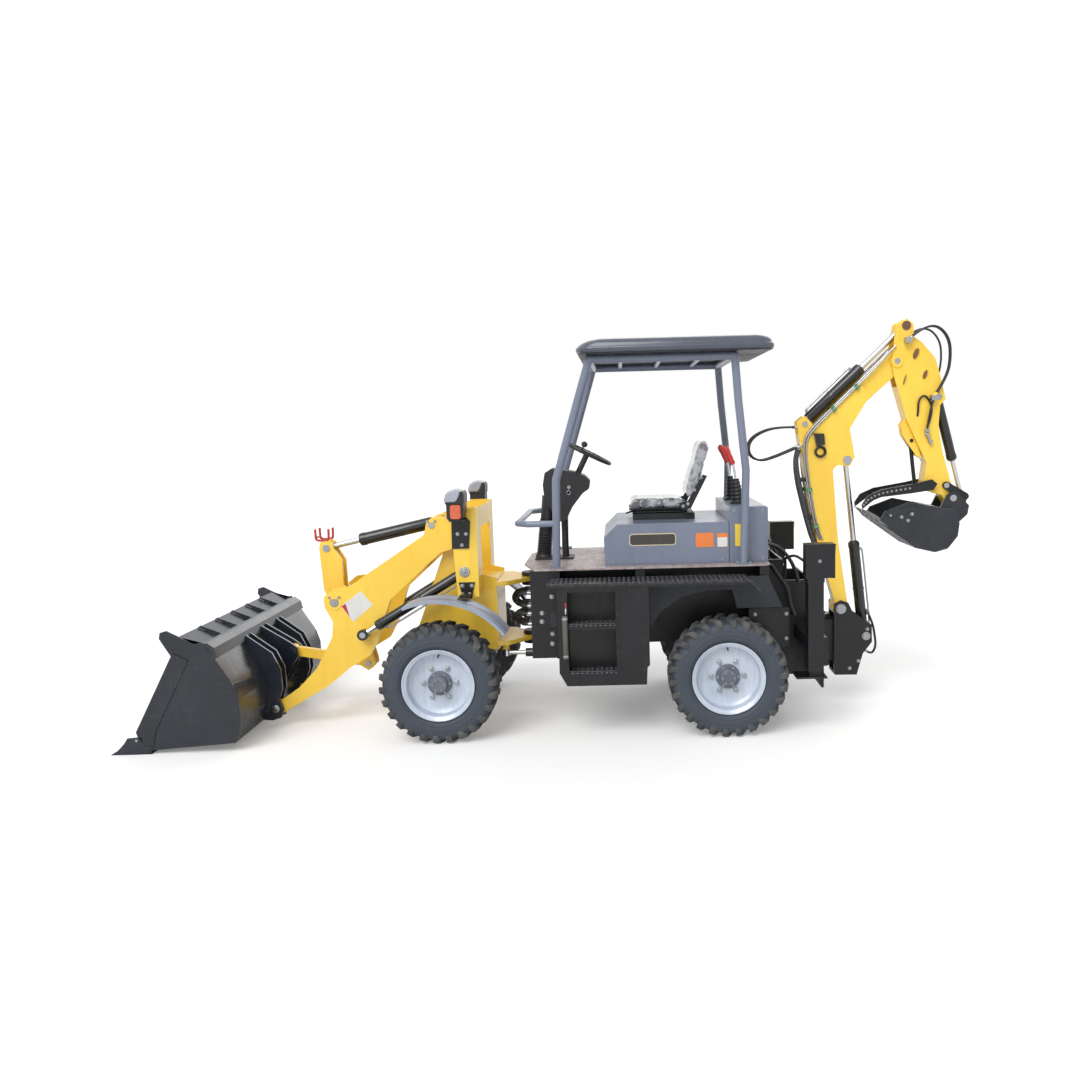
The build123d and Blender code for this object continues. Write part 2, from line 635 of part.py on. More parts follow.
# Tread strips over the boxes and the rear mudguards behind them
with BuildPart() as rear_fenders:
    for sign in (1, -1):
        left = 745 if sign > 0 else -(body_half_width - 4)
        width = 745 - body_half_width + 4
        slab([(-690, step_box_top), (-1930, step_box_top), (-1995, 915), (-2001, 922),
              (-1935, 990), (-690, 990)], left, width)
        inner_left = body_half_width if sign > 0 else -(body_half_width - 12)
        slab([(-1315, 975), (-1315, 640), (-1400, 760), (-1530, 850), (-1700, 890), (-1850, 890),
              (-1880, 770), (-2171, 770), (-2079, 975)], inner_left, 12)
finish(rear_fenders, "rear_fenders")

# Deck plate
with BuildPart() as deck:
    with BuildSketch(Plane.XY.offset(deck_height)):
        with BuildLine():
            Polyline(*[(front_axle_x + x, y) for x, y in (
                (-515, 260), (-600, 535), (-2060, 535), (-2095, 500), (-2095, -500), (-2060, -535),
                (-600, -535), (-515, -260))], close=True)
        make_face()
    extrude(amount=deck_thickness)
    block((-1785, -245, deck_height), (-1095, 245, deck_height + deck_thickness), mode=Mode.SUBTRACT)
finish(deck, "deck")

# Seat box with a sloping front edge, open below over the engine, and the rear console
deck_top = deck_height + deck_thickness
sheet = 6.0
with BuildPart() as hood:
    slab([(-1050, deck_top), (-1045, hood_height - 84), (-1132, hood_height), (-1846, hood_height),
          (-1846, deck_top)], box_half_width, 2 * box_half_width)
    slab([(-1056, deck_top), (-1052, hood_height - 88), (-1136, hood_height - sheet),
          (-1846 + sheet, hood_height - sheet), (-1846 + sheet, deck_top)], box_half_width - sheet,
         2 * (box_half_width - sheet), mode=Mode.SUBTRACT)
finish(hood, "hood")
with BuildPart() as console:
    slab([(-1847, deck_top), (-1847, console_height), (-2085, console_height),
          (-2095, console_height - 10), (-2095, deck_top)], box_half_width, 2 * box_half_width)
    slab([(-1847 - sheet, deck_top), (-1847 - sheet, console_height - sheet),
          (-2089, console_height - sheet), (-2089, deck_top)], box_half_width - sheet,
         2 * (box_half_width - sheet), mode=Mode.SUBTRACT)
finish(console, "rear_console")

# Seat on a swivel base
seat_axis = -1475.0
with BuildPart() as seat_base:
    block((-1650, -160, hood_height), (-1240, 160, hood_height + 40))
    with Locations((front_axle_x + seat_axis, 0, hood_height + 52)):
        Cylinder(120, 24)
finish(seat_base, "seat_base")
seat_floor = hood_height + 64.3
seat_half_width = 228.0
seat_plate_left = seat_half_width + 0.3
with BuildPart() as seat_frame:
    block((-1600, -170, seat_floor), (-1215, 170, seat_floor + 14))
    for left in (seat_plate_left + 8, -seat_plate_left):
        slab([(-1560, seat_floor + 6), (-1620, seat_floor + 10), (-1730, seat_floor + 220.7),
              (-1700, seat_floor + 230.7), (-1600, seat_floor + 60.7), (-1540, seat_floor + 45.7)],
             left, 8)
    block((-1600, -seat_plate_left - 8, seat_floor), (-1560, seat_plate_left + 8, seat_floor + 14))
finish(seat_frame, "seat_frame")
with BuildPart() as cushion:
    slab([(-1213, seat_floor + 14.3), (-1205, seat_floor + 60.7), (-1260, seat_floor + 80.7),
          (-1560, seat_floor + 70.7), (-1640, seat_floor + 14.3)], seat_half_width,
         2 * seat_half_width)
finish(cushion, "seat_cushion")
with BuildPart() as backrest:
    slab([(-1590, seat_floor + 73.2), (-1645, seat_floor + 73.2), (-1745, seat_floor + 420.7),
          (-1730, seat_floor + 460.7), (-1700, seat_floor + 458.7), (-1660, seat_floor + 320.7),
          (-1600, seat_floor + 150.7)], seat_half_width, 2 * seat_half_width)
finish(backrest, "seat_back")

# Steering column: pedestal, pod and tilted wheel shaft
wheel_hub = (-943.0, 1763.0)
wheel_tilt = 27.0
wheel_way = (-sin(radians(wheel_tilt)), cos(radians(wheel_tilt)))
shaft_low = (wheel_hub[0] - 225 * wheel_way[0], wheel_hub[1] - 225 * wheel_way[1])
shaft_high = (wheel_hub[0] - 10.2 * wheel_way[0], wheel_hub[1] - 10.2 * wheel_way[1])
with BuildPart() as column:
    bar((-626, 0, deck_top + 6), (-668, 0, 1480), 42)
    bar((-776, 0, deck_top + 6), (-772, 0, 1340), 22)
    block((-830, -90, deck_top), (-570, 90, deck_top + 12))
    slab([(-640, 1560), (-655, 1640), (-700, 1668), (-860, 1640), (-930, 1610), (-956, 1580),
          (-948, 1525), (-907, 1498), (-832, 1403), (-790, 1320), (-750, 1310), (-700, 1380),
          (-650, 1440)], 100, 200, 10)
    bar((shaft_low[0], 0, shaft_low[1]), (shaft_high[0], 0, shaft_high[1]), 20)
finish(column, "steering_column")
wheel_ring_radius = 165.0
with BuildPart() as steering_wheel:
    hub_point = Vector(front_axle_x + wheel_hub[0], 0, wheel_hub[1])
    tilt = Plane(origin=hub_point, z_dir=(wheel_way[0], 0, wheel_way[1]))
    with BuildSketch(Plane(origin=hub_point, x_dir=tilt.x_dir, z_dir=tilt.y_dir)):
        with Locations((wheel_ring_radius, 0)):
            Circle(14)
    revolve(axis=Axis(hub_point, tilt.z_dir))
    with BuildSketch(tilt.offset(-10)):
        Circle(38)
    extrude(amount=20)
    with BuildSketch(tilt.offset(-6)):
        for angle in (90, 210, 330):
            with Locations(Location((0, 0, 0), angle)):
                with Locations((wheel_ring_radius / 2, 0)):
                    Rectangle(wheel_ring_radius, 26)
    extrude(amount=10)
finish(steering_wheel, "steering_wheel")

# Backhoe levers with rubber boots on the console
with BuildPart() as levers:
    for y in (170, -170):
        with Locations((front_axle_x - 1940, y, console_height + 8)):
            Box(120, 110, 16)
        with BuildSketch(Plane(origin=(front_axle_x - 1940, y, console_height + 16))):
            Circle(46)
        with BuildSketch(Plane(origin=(front_axle_x - 1922, y, console_height + 160))):
            Circle(20)
        loft()
        bar((-1924, y, console_height + 140), (-1905, y, 1680), 9)
        bar((-1906, y, 1672), (-1850, y, 1795), 21)
finish(levers, "hoe_levers")

# Canopy frame: four bent posts, top rails and the front guard loop
post_radius = post_diameter / 2
foot_plate = 10.0
roof_floor = roof_rim - 14
rail_height = roof_floor - post_radius - seat_gap
post_start = deck_top + foot_plate / 2
guard_radius = 20.0
guard_height = 1338.0
guard_front = -500.0
guard_back = 4.0
post_lines = (((-742, post_start), (-757, 1613), (-907, 2104), (-985, rail_height)),
              ((-1929, post_start), (-1947, 1645), (-1904, 2077), (-1885, rail_height)))
with BuildPart() as canopy_frame:
    for y in (post_half_spacing, -post_half_spacing):
        for points in post_lines:
            for low, high in zip(points, points[1:]):
                bar((low[0], y, low[1]), (high[0], y, high[1]), post_radius)
            for px, pz in points[1:]:
                with Locations((front_axle_x + px, y, pz)):
                    Sphere(post_radius)
            foot_x = points[0][0]
            block((foot_x - 50, y - 32, deck_top), (foot_x + 50, y + 32, deck_top + foot_plate))
        bar((-985, y, rail_height), (-1885, y, rail_height), post_radius)
    for x in (-985, -1885):
        bar((x, post_half_spacing, rail_height), (x, -post_half_spacing, rail_height), post_radius)
    for x in (-1180, -1435, -1690):
        bar((x, post_half_spacing, rail_height + 8), (x, -post_half_spacing, rail_height + 8), 15)
    for sign in (1, -1):
        guard = [(-757 + guard_back, sign * post_half_spacing, guard_height),
                 (guard_front - 70, sign * post_half_spacing, guard_height),
                 (guard_front, sign * (post_half_spacing - 70), guard_height), (guard_front, 0, guard_height)]
        for low, high in zip(guard, guard[1:]):
            bar(low, high, guard_radius)
        for x, y, z in guard[1:3]:
            with Locations((front_axle_x + x, y, z)):
                Sphere(guard_radius)
finish(canopy_frame, "canopy_frame")
with BuildPart() as roof:
    slab([(-905, roof_rim), (-915, roof_rim + 35), (-1010, roof_top - 10), (-1080, roof_top),
          (-2060, roof_top), (-2110, roof_top - 20), (-2125, roof_rim + 20), (-2115, roof_floor),
          (-2000, roof_floor), (-1000, roof_floor)], roof_half_width, 2 * roof_half_width)
finish(roof, "canopy_roof")

# Backhoe frame: side cheeks, back plate, swing bracket, stabilizer columns and cross beam
swing_pin_radius = 30.0
bracket_top = 600.0
bracket_low = 262.0
bracket_plate = 25.0
hoe_back = -2400.0
column_x = -2338.0
leg_reach = 850.0
column_top = leg_reach + 135.0
cap_height = 210.0
column_bottom = 400.0
half_column = stabilizer_column / 2
with BuildPart() as hoe_frame:
    for sign in (1, -1):
        low_y, high_y = sorted((sign * 240, sign * 256))
        block((hoe_back, low_y, 262), (frame_rear, high_y, 900))
    block((hoe_back - 16, -600, 262), (hoe_back, 600, 640))
    block((hoe_back - 16, -300, 620), (hoe_back, 300, 900))
    block((frame_rear - 16, -256, 262), (frame_rear, 256, 1000))
    block((-2386, -stabilizer_y + half_column, 520), (-2290, stabilizer_y - half_column, 610))
    for plate_x in (frame_rear - 16, hoe_back - 16):
        block((plate_x, -200, swing_height - 55), (plate_x + 16, -30, swing_height + 55),
              mode=Mode.SUBTRACT)
    for bottom in (bracket_top, bracket_low):
        with BuildSketch(Plane.XY.offset(bottom)):
            with BuildLine():
                Polyline(*[(front_axle_x + x, y) for x, y in (
                    (hoe_back, 200), (swing_forward, 64), (swing_forward, -64), (hoe_back, -200))],
                    close=True)
            make_face()
            with Locations((front_axle_x + swing_forward, 0)):
                Circle(64)
        extrude(amount=bracket_plate)
    with Locations((front_axle_x + swing_forward, 0, (bracket_low + bracket_top + bracket_plate) / 2)):
        Cylinder(swing_pin_radius, bracket_top - bracket_low + bracket_plate + 20)
    for sign in (1, -1):
        with Locations((front_axle_x + column_x, sign * stabilizer_y, (column_top + column_bottom) / 2)):
            Box(stabilizer_column, stabilizer_column, column_top - column_bottom)
        block((-2455, sign * stabilizer_y - half_column, column_top),
              (-2275, sign * stabilizer_y + half_column, column_top + cap_height))
        inner = stabilizer_column - 2 * leg_wall
        with Locations((front_axle_x + column_x, sign * stabilizer_y, (column_top + column_bottom - 60) / 2)):
            Box(inner, inner, column_top - column_bottom - 60, mode=Mode.SUBTRACT)
        low_y, high_y = sorted((sign * 560, sign * (stabilizer_y + 20)))
        block((-2416, low_y, 430), (-2386, high_y, 610))
finish(hoe_frame, "hoe_frame")

# Stabilizer legs, each an inner tube with a foot
leg_clearance = 0.5
foot_bottom = 364.0
for place, sign in (("left", 1), ("right", -1)):
    with BuildPart() as leg:
        width = stabilizer_column - 2 * leg_wall - 2 * leg_clearance
        with Locations((front_axle_x + column_x, sign * stabilizer_y, (foot_bottom + 12 + leg_reach) / 2)):
            Box(width, width, leg_reach - foot_bottom - 12)
        with Locations((front_axle_x + column_x + 30, sign * stabilizer_y, foot_bottom + 6)):
            Box(190, 150, 12)
    finish(leg, f"stabilizer_leg_{place}")

# Swing post: hub on the vertical pin and two side plates that hold the boom
post_plate = 20.0
post_inner = boom_half_width + 10
thrust_gap = 2.0
with BuildPart() as swing_post:
    hub_low = bracket_low + bracket_plate + thrust_gap
    hub_high = bracket_top - thrust_gap
    with Locations((front_axle_x + swing_forward, 0, (hub_low + hub_high) / 2)):
        Cylinder(56, hub_high - hub_low)
    block((-2610, -56, hub_low + 10), (swing_forward, 56, hub_high - 10))
    for left in (post_inner + post_plate, -post_inner):
        slab([(-2592, 270), (-2600, 205), (-2749, 203), (-2790, 350), (-2852, 430), (-2850, 550),
              (-2780, 600), (-2720, 640), (-2690, 705), (-2640, 722), (-2594, 700)], left, post_plate)
    block((-2612, -post_inner, 290), (-2592, post_inner, 560))
    block((-2740, -post_inner, 205), (-2600, post_inner, 225))
    with Locations((front_axle_x + swing_forward, 0, (hub_low + hub_high) / 2)):
        Cylinder(swing_pin_radius + pin_clearance, hub_high - hub_low, mode=Mode.SUBTRACT)
    disc(boom_pin, 25, post_inner + post_plate + 8, 2 * (post_inner + post_plate + 8))
    disc(boom_base, 20, post_inner + post_plate + 8, 2 * (post_inner + post_plate + 8))
    for bottom in (swing_height + swing_eye_width / 2 + eye_gap,
                   swing_height - swing_eye_width / 2 - eye_gap - 16):
        with BuildSketch(Plane.XY.offset(bottom)) as arm:
            with Locations((front_axle_x + swing_forward, swing_eye[1] / 2)):
                Rectangle(52, -swing_eye[1])
            with Locations((front_axle_x + swing_eye[0], swing_eye[1])):
                Circle(26)
            with Locations((front_axle_x + swing_forward, 0)):
                Circle(swing_pin_radius + pin_clearance, mode=Mode.SUBTRACT)
        extrude(amount=16)
finish(swing_post, "swing_post")

# Swing cylinder
swing_from = Vector(front_axle_x + swing_base[0], swing_base[1], swing_height)
swing_to = Vector(front_axle_x + swing_eye[0], swing_eye[1], swing_height)
swing_way = (swing_to - swing_from).normalized()
with BuildPart() as swing_barrel:
    with Locations(swing_from):
        Cylinder(swing_cylinder_pin + eye_wall, swing_eye_width)
    with BuildSketch(Plane(origin=swing_from + swing_way * 20, z_dir=swing_way)):
        Circle(swing_barrel_radius)
    extrude(amount=325)
    with BuildSketch(Plane(origin=swing_from + swing_way * 46, z_dir=swing_way)):
        Circle(swing_rod_radius + rod_clearance)
    extrude(amount=300, mode=Mode.SUBTRACT)
    with Locations(swing_from):
        Cylinder(swing_cylinder_pin + pin_clearance, 4 * swing_barrel_radius, mode=Mode.SUBTRACT)
finish(swing_barrel, "swing_cylinder_barrel")
with BuildPart() as swing_rod:
    with BuildSketch(Plane(origin=swing_from + swing_way * 190, z_dir=swing_way)):
        Circle(swing_rod_radius)
    extrude(amount=(swing_to - swing_from).length - 190 - 18)
    with Locations(swing_to):
        Cylinder(26, swing_eye_width)
        Cylinder(swing_cylinder_pin, swing_eye_width + 2 * pin_proud)
finish(swing_rod, "swing_cylinder_rod")

# Boom: cranked box, hollow to the walls' thickness at the ends, with lugs for three cylinders
boom_outline = [(-2588, 640), (-2600, 720), (-2483, 1137), (-2402, 1612), (-2362, 1830),
                (-2350, 1935), (-2400, 1975), (-2465, 1905), (-2962, 2372), (-3020, 2378),
                (-3068, 2330), (-3052, 2268), (-2985, 2206), (-2807, 2053), (-2700, 1880),
                (-2735, 1690), (-2700, 1630), (-2620, 1640), (-2589, 1608), (-2625, 1137),
                (-2690, 700), (-2680, 630), (-2640, 612)]
hose_radius = 7.0
gland_radius = 11.0
dipper_gland_radius = 9.5
boom_hose_y = 51.0
boom_hose_route = [(-2335, 1900), (-2225, 1903), (-2110, 1872), (-2035, 1815), (-2025, 1735),
                   (-2085, 1680), (-2180, 1690), (-2352, 1762)]
dipper_hose_ys = (84.0, 106.0, -84.0)
dipper_hose_route = [(-3095, 2470), (-3165, 2525), (-3262, 2540), (-3340, 2455), (-3352, 2330),
                     (-3330, 2205), (-3262, 2100)]
nose_half_width = 44.0
nose_reach = 275.0
with BuildPart() as boom:
    slab(boom_outline, boom_half_width, 2 * boom_half_width, 12)
    disc(boom_pin, 52, boom_half_width + 8, 2 * (boom_half_width + 8))
    disc(boom_pin, 25 + pin_clearance, boom_half_width + 8, 2 * (boom_half_width + 8),
         mode=Mode.SUBTRACT)
    disc(dipper_pin, 66, 48, 96)
    block((-2790, -36, 1540), (-2590, 36, 1790), mode=Mode.SUBTRACT)
    block((-2460, -42, 1850), (-2330, 42, 1990), mode=Mode.SUBTRACT)
    for left in (boom_half_width + 20, -nose_half_width):
        disc(dipper_pin, nose_reach, left, boom_half_width + 20 - nose_half_width, mode=Mode.SUBTRACT)
    disc(dipper_pin, 25 + pin_clearance, 60, 120, mode=Mode.SUBTRACT)
    for left in (boom_half_width + 6, -boom_half_width):
        disc(boom_eye, 30, left, 6)
    disc(dipper_base, 20, boom_half_width + 6, 2 * (boom_half_width + 6))
    for y in (boom_hose_y, -boom_hose_y):
        ends = [(x, y, z) for x, z in boom_hose_route]
        gland(ends[0], ends[1], 40, gland_radius)
        gland(ends[-1], ends[-2], 40, gland_radius)
finish(boom, "boom")
with BuildPart() as boom_hoses:
    for y in (boom_hose_y, -boom_hose_y):
        hose([(x, y, z) for x, z in boom_hose_route], hose_radius)
finish(boom_hoses, "boom_hoses")

hoe_barrel_radius = 36.0
hoe_rod_radius = 19.0
with BuildPart() as boom_barrel:
    barrel(boom_base, boom_eye, 0, 40, 640, hoe_barrel_radius, hoe_rod_radius, 60, 20)
finish(boom_barrel, "boom_cylinder_barrel")
with BuildPart() as boom_rod:
    rod(boom_base, boom_eye, 0, 560, hoe_rod_radius, 38, 60, 20)
finish(boom_rod, "boom_cylinder_rod")

# Dipper: tapered box with cheek plates around the boom's end, and the thumb's bracket
dipper_outline = [(-2990, 2225), (-2975, 2300), (-2992, 2470), (-3010, 2560), (-3068, 2590),
                  (-3115, 2555), (-3120, 2470), (-3172, 2434), (-3262, 2330), (-3296, 2217),
                  (-3320, 2120), (-3335, 2060), (-3300, 2020), (-3290, 1880), (-3318, 1720),
                  (-3375, 1520), (-3420, 1400), (-3400, 1362), (-3355, 1360), (-3318, 1420),
                  (-3225, 1450), (-3195, 1490), (-3215, 1640), (-3078, 1928), (-3030, 2090)]
thumb_pin = (-3238.0, 1493.0)
thumb_strut_low = (-3158.0, 1468.0)
thumb_strut_top = (-3120.0, 1790.0)
rocker_inner = dipper_half_width + 6
rocker_plate = 16.0
ear_inner = rocker_inner + rocker_plate + eye_gap
with BuildPart() as dipper:
    slab(dipper_outline, dipper_half_width, 2 * dipper_half_width, 10)
    disc(dipper_pin, 76, 52, 104, mode=Mode.SUBTRACT)
    block((-3070, -52, 2150), (-2900, 52, 2480), mode=Mode.SUBTRACT)
    block((-3190, -34, 2440), (-2950, 34, 2640), mode=Mode.SUBTRACT)
    block((-3400, -34, 1860), (-3250, 34, 2160), mode=Mode.SUBTRACT)
    for left in (34, -18):
        slab([(-3190, 1670), (-3150, 1690), (-3060, 1830), (-3050, 1900), (-3078, 1940),
              (-3110, 1910)], left, 16)
        disc(thumb_strut_top, 12 + pin_clearance, left, 16, mode=Mode.SUBTRACT)
    disc(thumb_pin, 18 + pin_clearance, dipper_half_width, 2 * dipper_half_width,
         mode=Mode.SUBTRACT)
    disc(dipper_pin, 25, dipper_half_width + 6, 2 * (dipper_half_width + 6))
    for left in (dipper_half_width + 6, -dipper_half_width):
        disc(dipper_eye, 30, left, 6)
    disc(curl_base, 18, dipper_half_width + 6, 2 * (dipper_half_width + 6))
    disc(rocker_pin, 18, rocker_inner + rocker_plate + 2, 2 * (rocker_inner + rocker_plate + 2))
    disc(hoe_pin, 22, ear_inner + 20, 2 * (ear_inner + 20))
    for near, far in ((dipper_half_width - 4, 118), (-98, 4 - dipper_half_width)):
        block((-3092, near, 2430), (-3052, far, 2466))
        block((-3264, near, 2052), (-3226, far, 2086))
    for y in dipper_hose_ys:
        ends = [(x, y, z) for x, z in dipper_hose_route]
        gland(ends[0], ends[1], 34, dipper_gland_radius)
        gland(ends[-1], ends[-2], 34, dipper_gland_radius)
finish(dipper, "dipper")
with BuildPart() as dipper_hoses:
    for y in dipper_hose_ys:
        hose([(x, y, z) for x, z in dipper_hose_route], hose_radius)
finish(dipper_hoses, "dipper_hoses")
with BuildPart() as dipper_barrel:
    barrel(dipper_base, dipper_eye, 0, 44, 520, 40, 20, 64, 20)
finish(dipper_barrel, "dipper_cylinder_barrel")
with BuildPart() as dipper_rod:
    rod(dipper_base, dipper_eye, 0, 460, 20, 38, 60, 20)
finish(dipper_rod, "dipper_cylinder_rod")
with BuildPart() as curl_barrel:
    barrel(curl_base, curl_eye, 0, 38, 430, 32, 16, 56, 18)
finish(curl_barrel, "bucket_cylinder_barrel")
with BuildPart() as curl_rod:
    rod(curl_base, curl_eye, 0, 360, 16, 30, 44, 18)
finish(curl_rod, "bucket_cylinder_rod")

# Rocker arms on the dipper and the link to the hoe bucket
with BuildPart() as rocker:
    for left in (rocker_inner + rocker_plate, -rocker_inner):
        with BuildSketch(side(left)):
            with BuildLine():
                Polyline(at(*rocker_pin), at(*curl_eye))
                offset(amount=25)
            make_face()
        extrude(amount=rocker_plate)
        disc(rocker_pin, 18 + pin_clearance, left, rocker_plate, mode=Mode.SUBTRACT)
        disc(curl_eye, 18, left + 2 if left > 0 else 25 - rocker_inner,
             rocker_plate + 27 if left > 0 else 27 + rocker_plate)
finish(rocker, "bucket_rocker")
with BuildPart() as hoe_link:
    for left in (44, -28):
        with BuildSketch(side(left)):
            with BuildLine():
                Polyline(at(*curl_eye), at(*hoe_link_pin))
                offset(amount=28)
            make_face()
        extrude(amount=16)
        disc(curl_eye, 18 + pin_clearance, left, 16, mode=Mode.SUBTRACT)
    disc(hoe_link_pin, 18, ear_inner - 2, 2 * (ear_inner - 2))
finish(hoe_link, "bucket_link_hoe")

# Hoe bucket: bent shell, side plates, ears, teeth and wear strips
hoe_side_outline = [(-2905, 1330), (-3060, 1385), (-3366, 1318), (-3385, 1240), (-3375, 1160),
                    (-3320, 1090), (-3240, 1066), (-3110, 1095), (-2870, 1270)]
hoe_shell_path = [(-2850, 1285), (-3110, 1095), (-3240, 1066), (-3320, 1090), (-3375, 1160),
                  (-3385, 1240), (-3366, 1318), (-3200, 1352)]
with BuildPart() as hoe_bucket:
    with BuildSketch(side(hoe_bucket_half_width)):
        with BuildLine():
            Polyline(*[at(*point) for point in hoe_shell_path])
            offset(amount=hoe_plate, side=Side.LEFT)
        make_face()
    extrude(amount=2 * hoe_bucket_half_width)
    for left in (hoe_bucket_half_width, -hoe_bucket_half_width + hoe_plate):
        with BuildSketch(side(left)) as outline:
            with BuildLine():
                Polyline(*[at(*point) for point in hoe_side_outline], close=True)
            make_face()
            offset(amount=hoe_plate / 2, kind=Kind.INTERSECTION)
        extrude(outline.sketch, amount=hoe_plate)
    for left in (ear_inner + 16, -ear_inner):
        slab([(-3290, 1325), (-3340, 1425), (-3383, 1446), (-3425, 1420), (-3490, 1350),
              (-3480, 1290), (-3380, 1200)], left, 16)
        disc(hoe_pin, 22 + pin_clearance, left, 16, mode=Mode.SUBTRACT)
        disc(hoe_link_pin, 26, left + 6 if left > 0 else left - 16, 6)
    for tooth in (-178, -64, 64, 178):
        slab([(-2925, 1225), (-2780, 1345), (-2850, 1306), (-2905, 1262)], tooth + 20, 40)
finish(hoe_bucket, "hoe_bucket")

# Thumb: two curved arms under the dipper, held by a pinned strut
with BuildPart() as thumb:
    for left in (110, -94):
        slab([(-3275, 1500), (-3238, 1530), (-3120, 1505), (-2900, 1470), (-2810, 1430),
              (-2772, 1372), (-2778, 1345), (-2850, 1400), (-2900, 1420), (-3100, 1440),
              (-3250, 1460)], left, 16)
    block((-2960, -110, 1428), (-2880, 110, 1444))
    disc(thumb_pin, 18, 110, 220)
    disc(thumb_strut_low, 14, 110, 220)
    bar((thumb_strut_low[0], 0, thumb_strut_low[1]), (thumb_strut_top[0], 0, thumb_strut_top[1]), 13)
    disc(thumb_strut_top, 12, 40, 80)
finish(thumb, "thumb")
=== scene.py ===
"""Looks of a compact articulated backhoe loader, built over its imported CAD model.

Lengths are in millimetres and places are (forward of the front axle, left, height).
`placed` turns them into metres in the frame that the CAD nodes use.
"""

import json
import logging
import math
from dataclasses import dataclass, field
from enum import Enum
from typing import Callable, Sequence

import bmesh
import bpy
import numpy as np
from mathutils import Matrix, Vector

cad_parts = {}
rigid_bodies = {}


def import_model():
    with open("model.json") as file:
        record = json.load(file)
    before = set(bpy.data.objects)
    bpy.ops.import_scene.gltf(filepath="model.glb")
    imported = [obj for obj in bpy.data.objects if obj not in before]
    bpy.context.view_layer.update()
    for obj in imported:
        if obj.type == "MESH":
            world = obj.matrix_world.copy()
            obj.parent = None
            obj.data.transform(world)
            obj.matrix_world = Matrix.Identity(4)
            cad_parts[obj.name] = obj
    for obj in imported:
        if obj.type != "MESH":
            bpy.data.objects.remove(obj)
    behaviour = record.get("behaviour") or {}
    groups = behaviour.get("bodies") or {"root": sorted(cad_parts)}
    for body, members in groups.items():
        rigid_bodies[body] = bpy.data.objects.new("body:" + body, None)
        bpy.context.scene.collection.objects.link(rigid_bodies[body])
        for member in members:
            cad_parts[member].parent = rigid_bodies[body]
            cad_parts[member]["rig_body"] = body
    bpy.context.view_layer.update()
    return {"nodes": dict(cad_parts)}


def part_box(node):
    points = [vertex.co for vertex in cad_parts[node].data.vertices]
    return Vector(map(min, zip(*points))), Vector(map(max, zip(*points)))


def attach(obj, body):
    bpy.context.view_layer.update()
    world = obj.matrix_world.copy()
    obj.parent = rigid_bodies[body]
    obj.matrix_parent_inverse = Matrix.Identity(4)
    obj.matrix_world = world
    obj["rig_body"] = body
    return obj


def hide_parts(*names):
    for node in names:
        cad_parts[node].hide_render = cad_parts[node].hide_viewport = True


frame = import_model()
log = logging.getLogger("backhoe_loader")

MM = 0.001
FRONT_AXLE = 731.0
AXLE_HEIGHT = math.sqrt(375.0**2 - 45.0**2)
WHEELBASE = 1800.0
DECK_TOP = 1052.0

Colour = tuple[int, int, int]
Place = tuple[float, float, float]
Spot = tuple[float, float]
Chooser = Callable[[np.ndarray], np.ndarray]


def placed(points: np.ndarray) -> np.ndarray:
    """Metres in the row frame from millimetres ahead of the front axle."""
    out = np.array(points, float)
    out[..., 0] += FRONT_AXLE
    return out * MM


def unit(way: Sequence[float]) -> np.ndarray:
    """Direction of length one."""
    way = np.asarray(way, float)
    return way / np.linalg.norm(way)


def linear(colour: Colour) -> tuple[float, ...]:
    """Scene-linear colour from a screen colour of 0 to 255."""
    share = np.asarray(colour) / 255
    bent = np.where(share <= 0.04045, share / 12.92, ((share + 0.055) / 1.055) ** 2.4)
    return (*bent.tolist(), 1.0)


def side_place(spot: Spot, left: float) -> Place:
    """Place from a point of the side view and a distance left of the middle."""
    return (spot[0], left, spot[1])


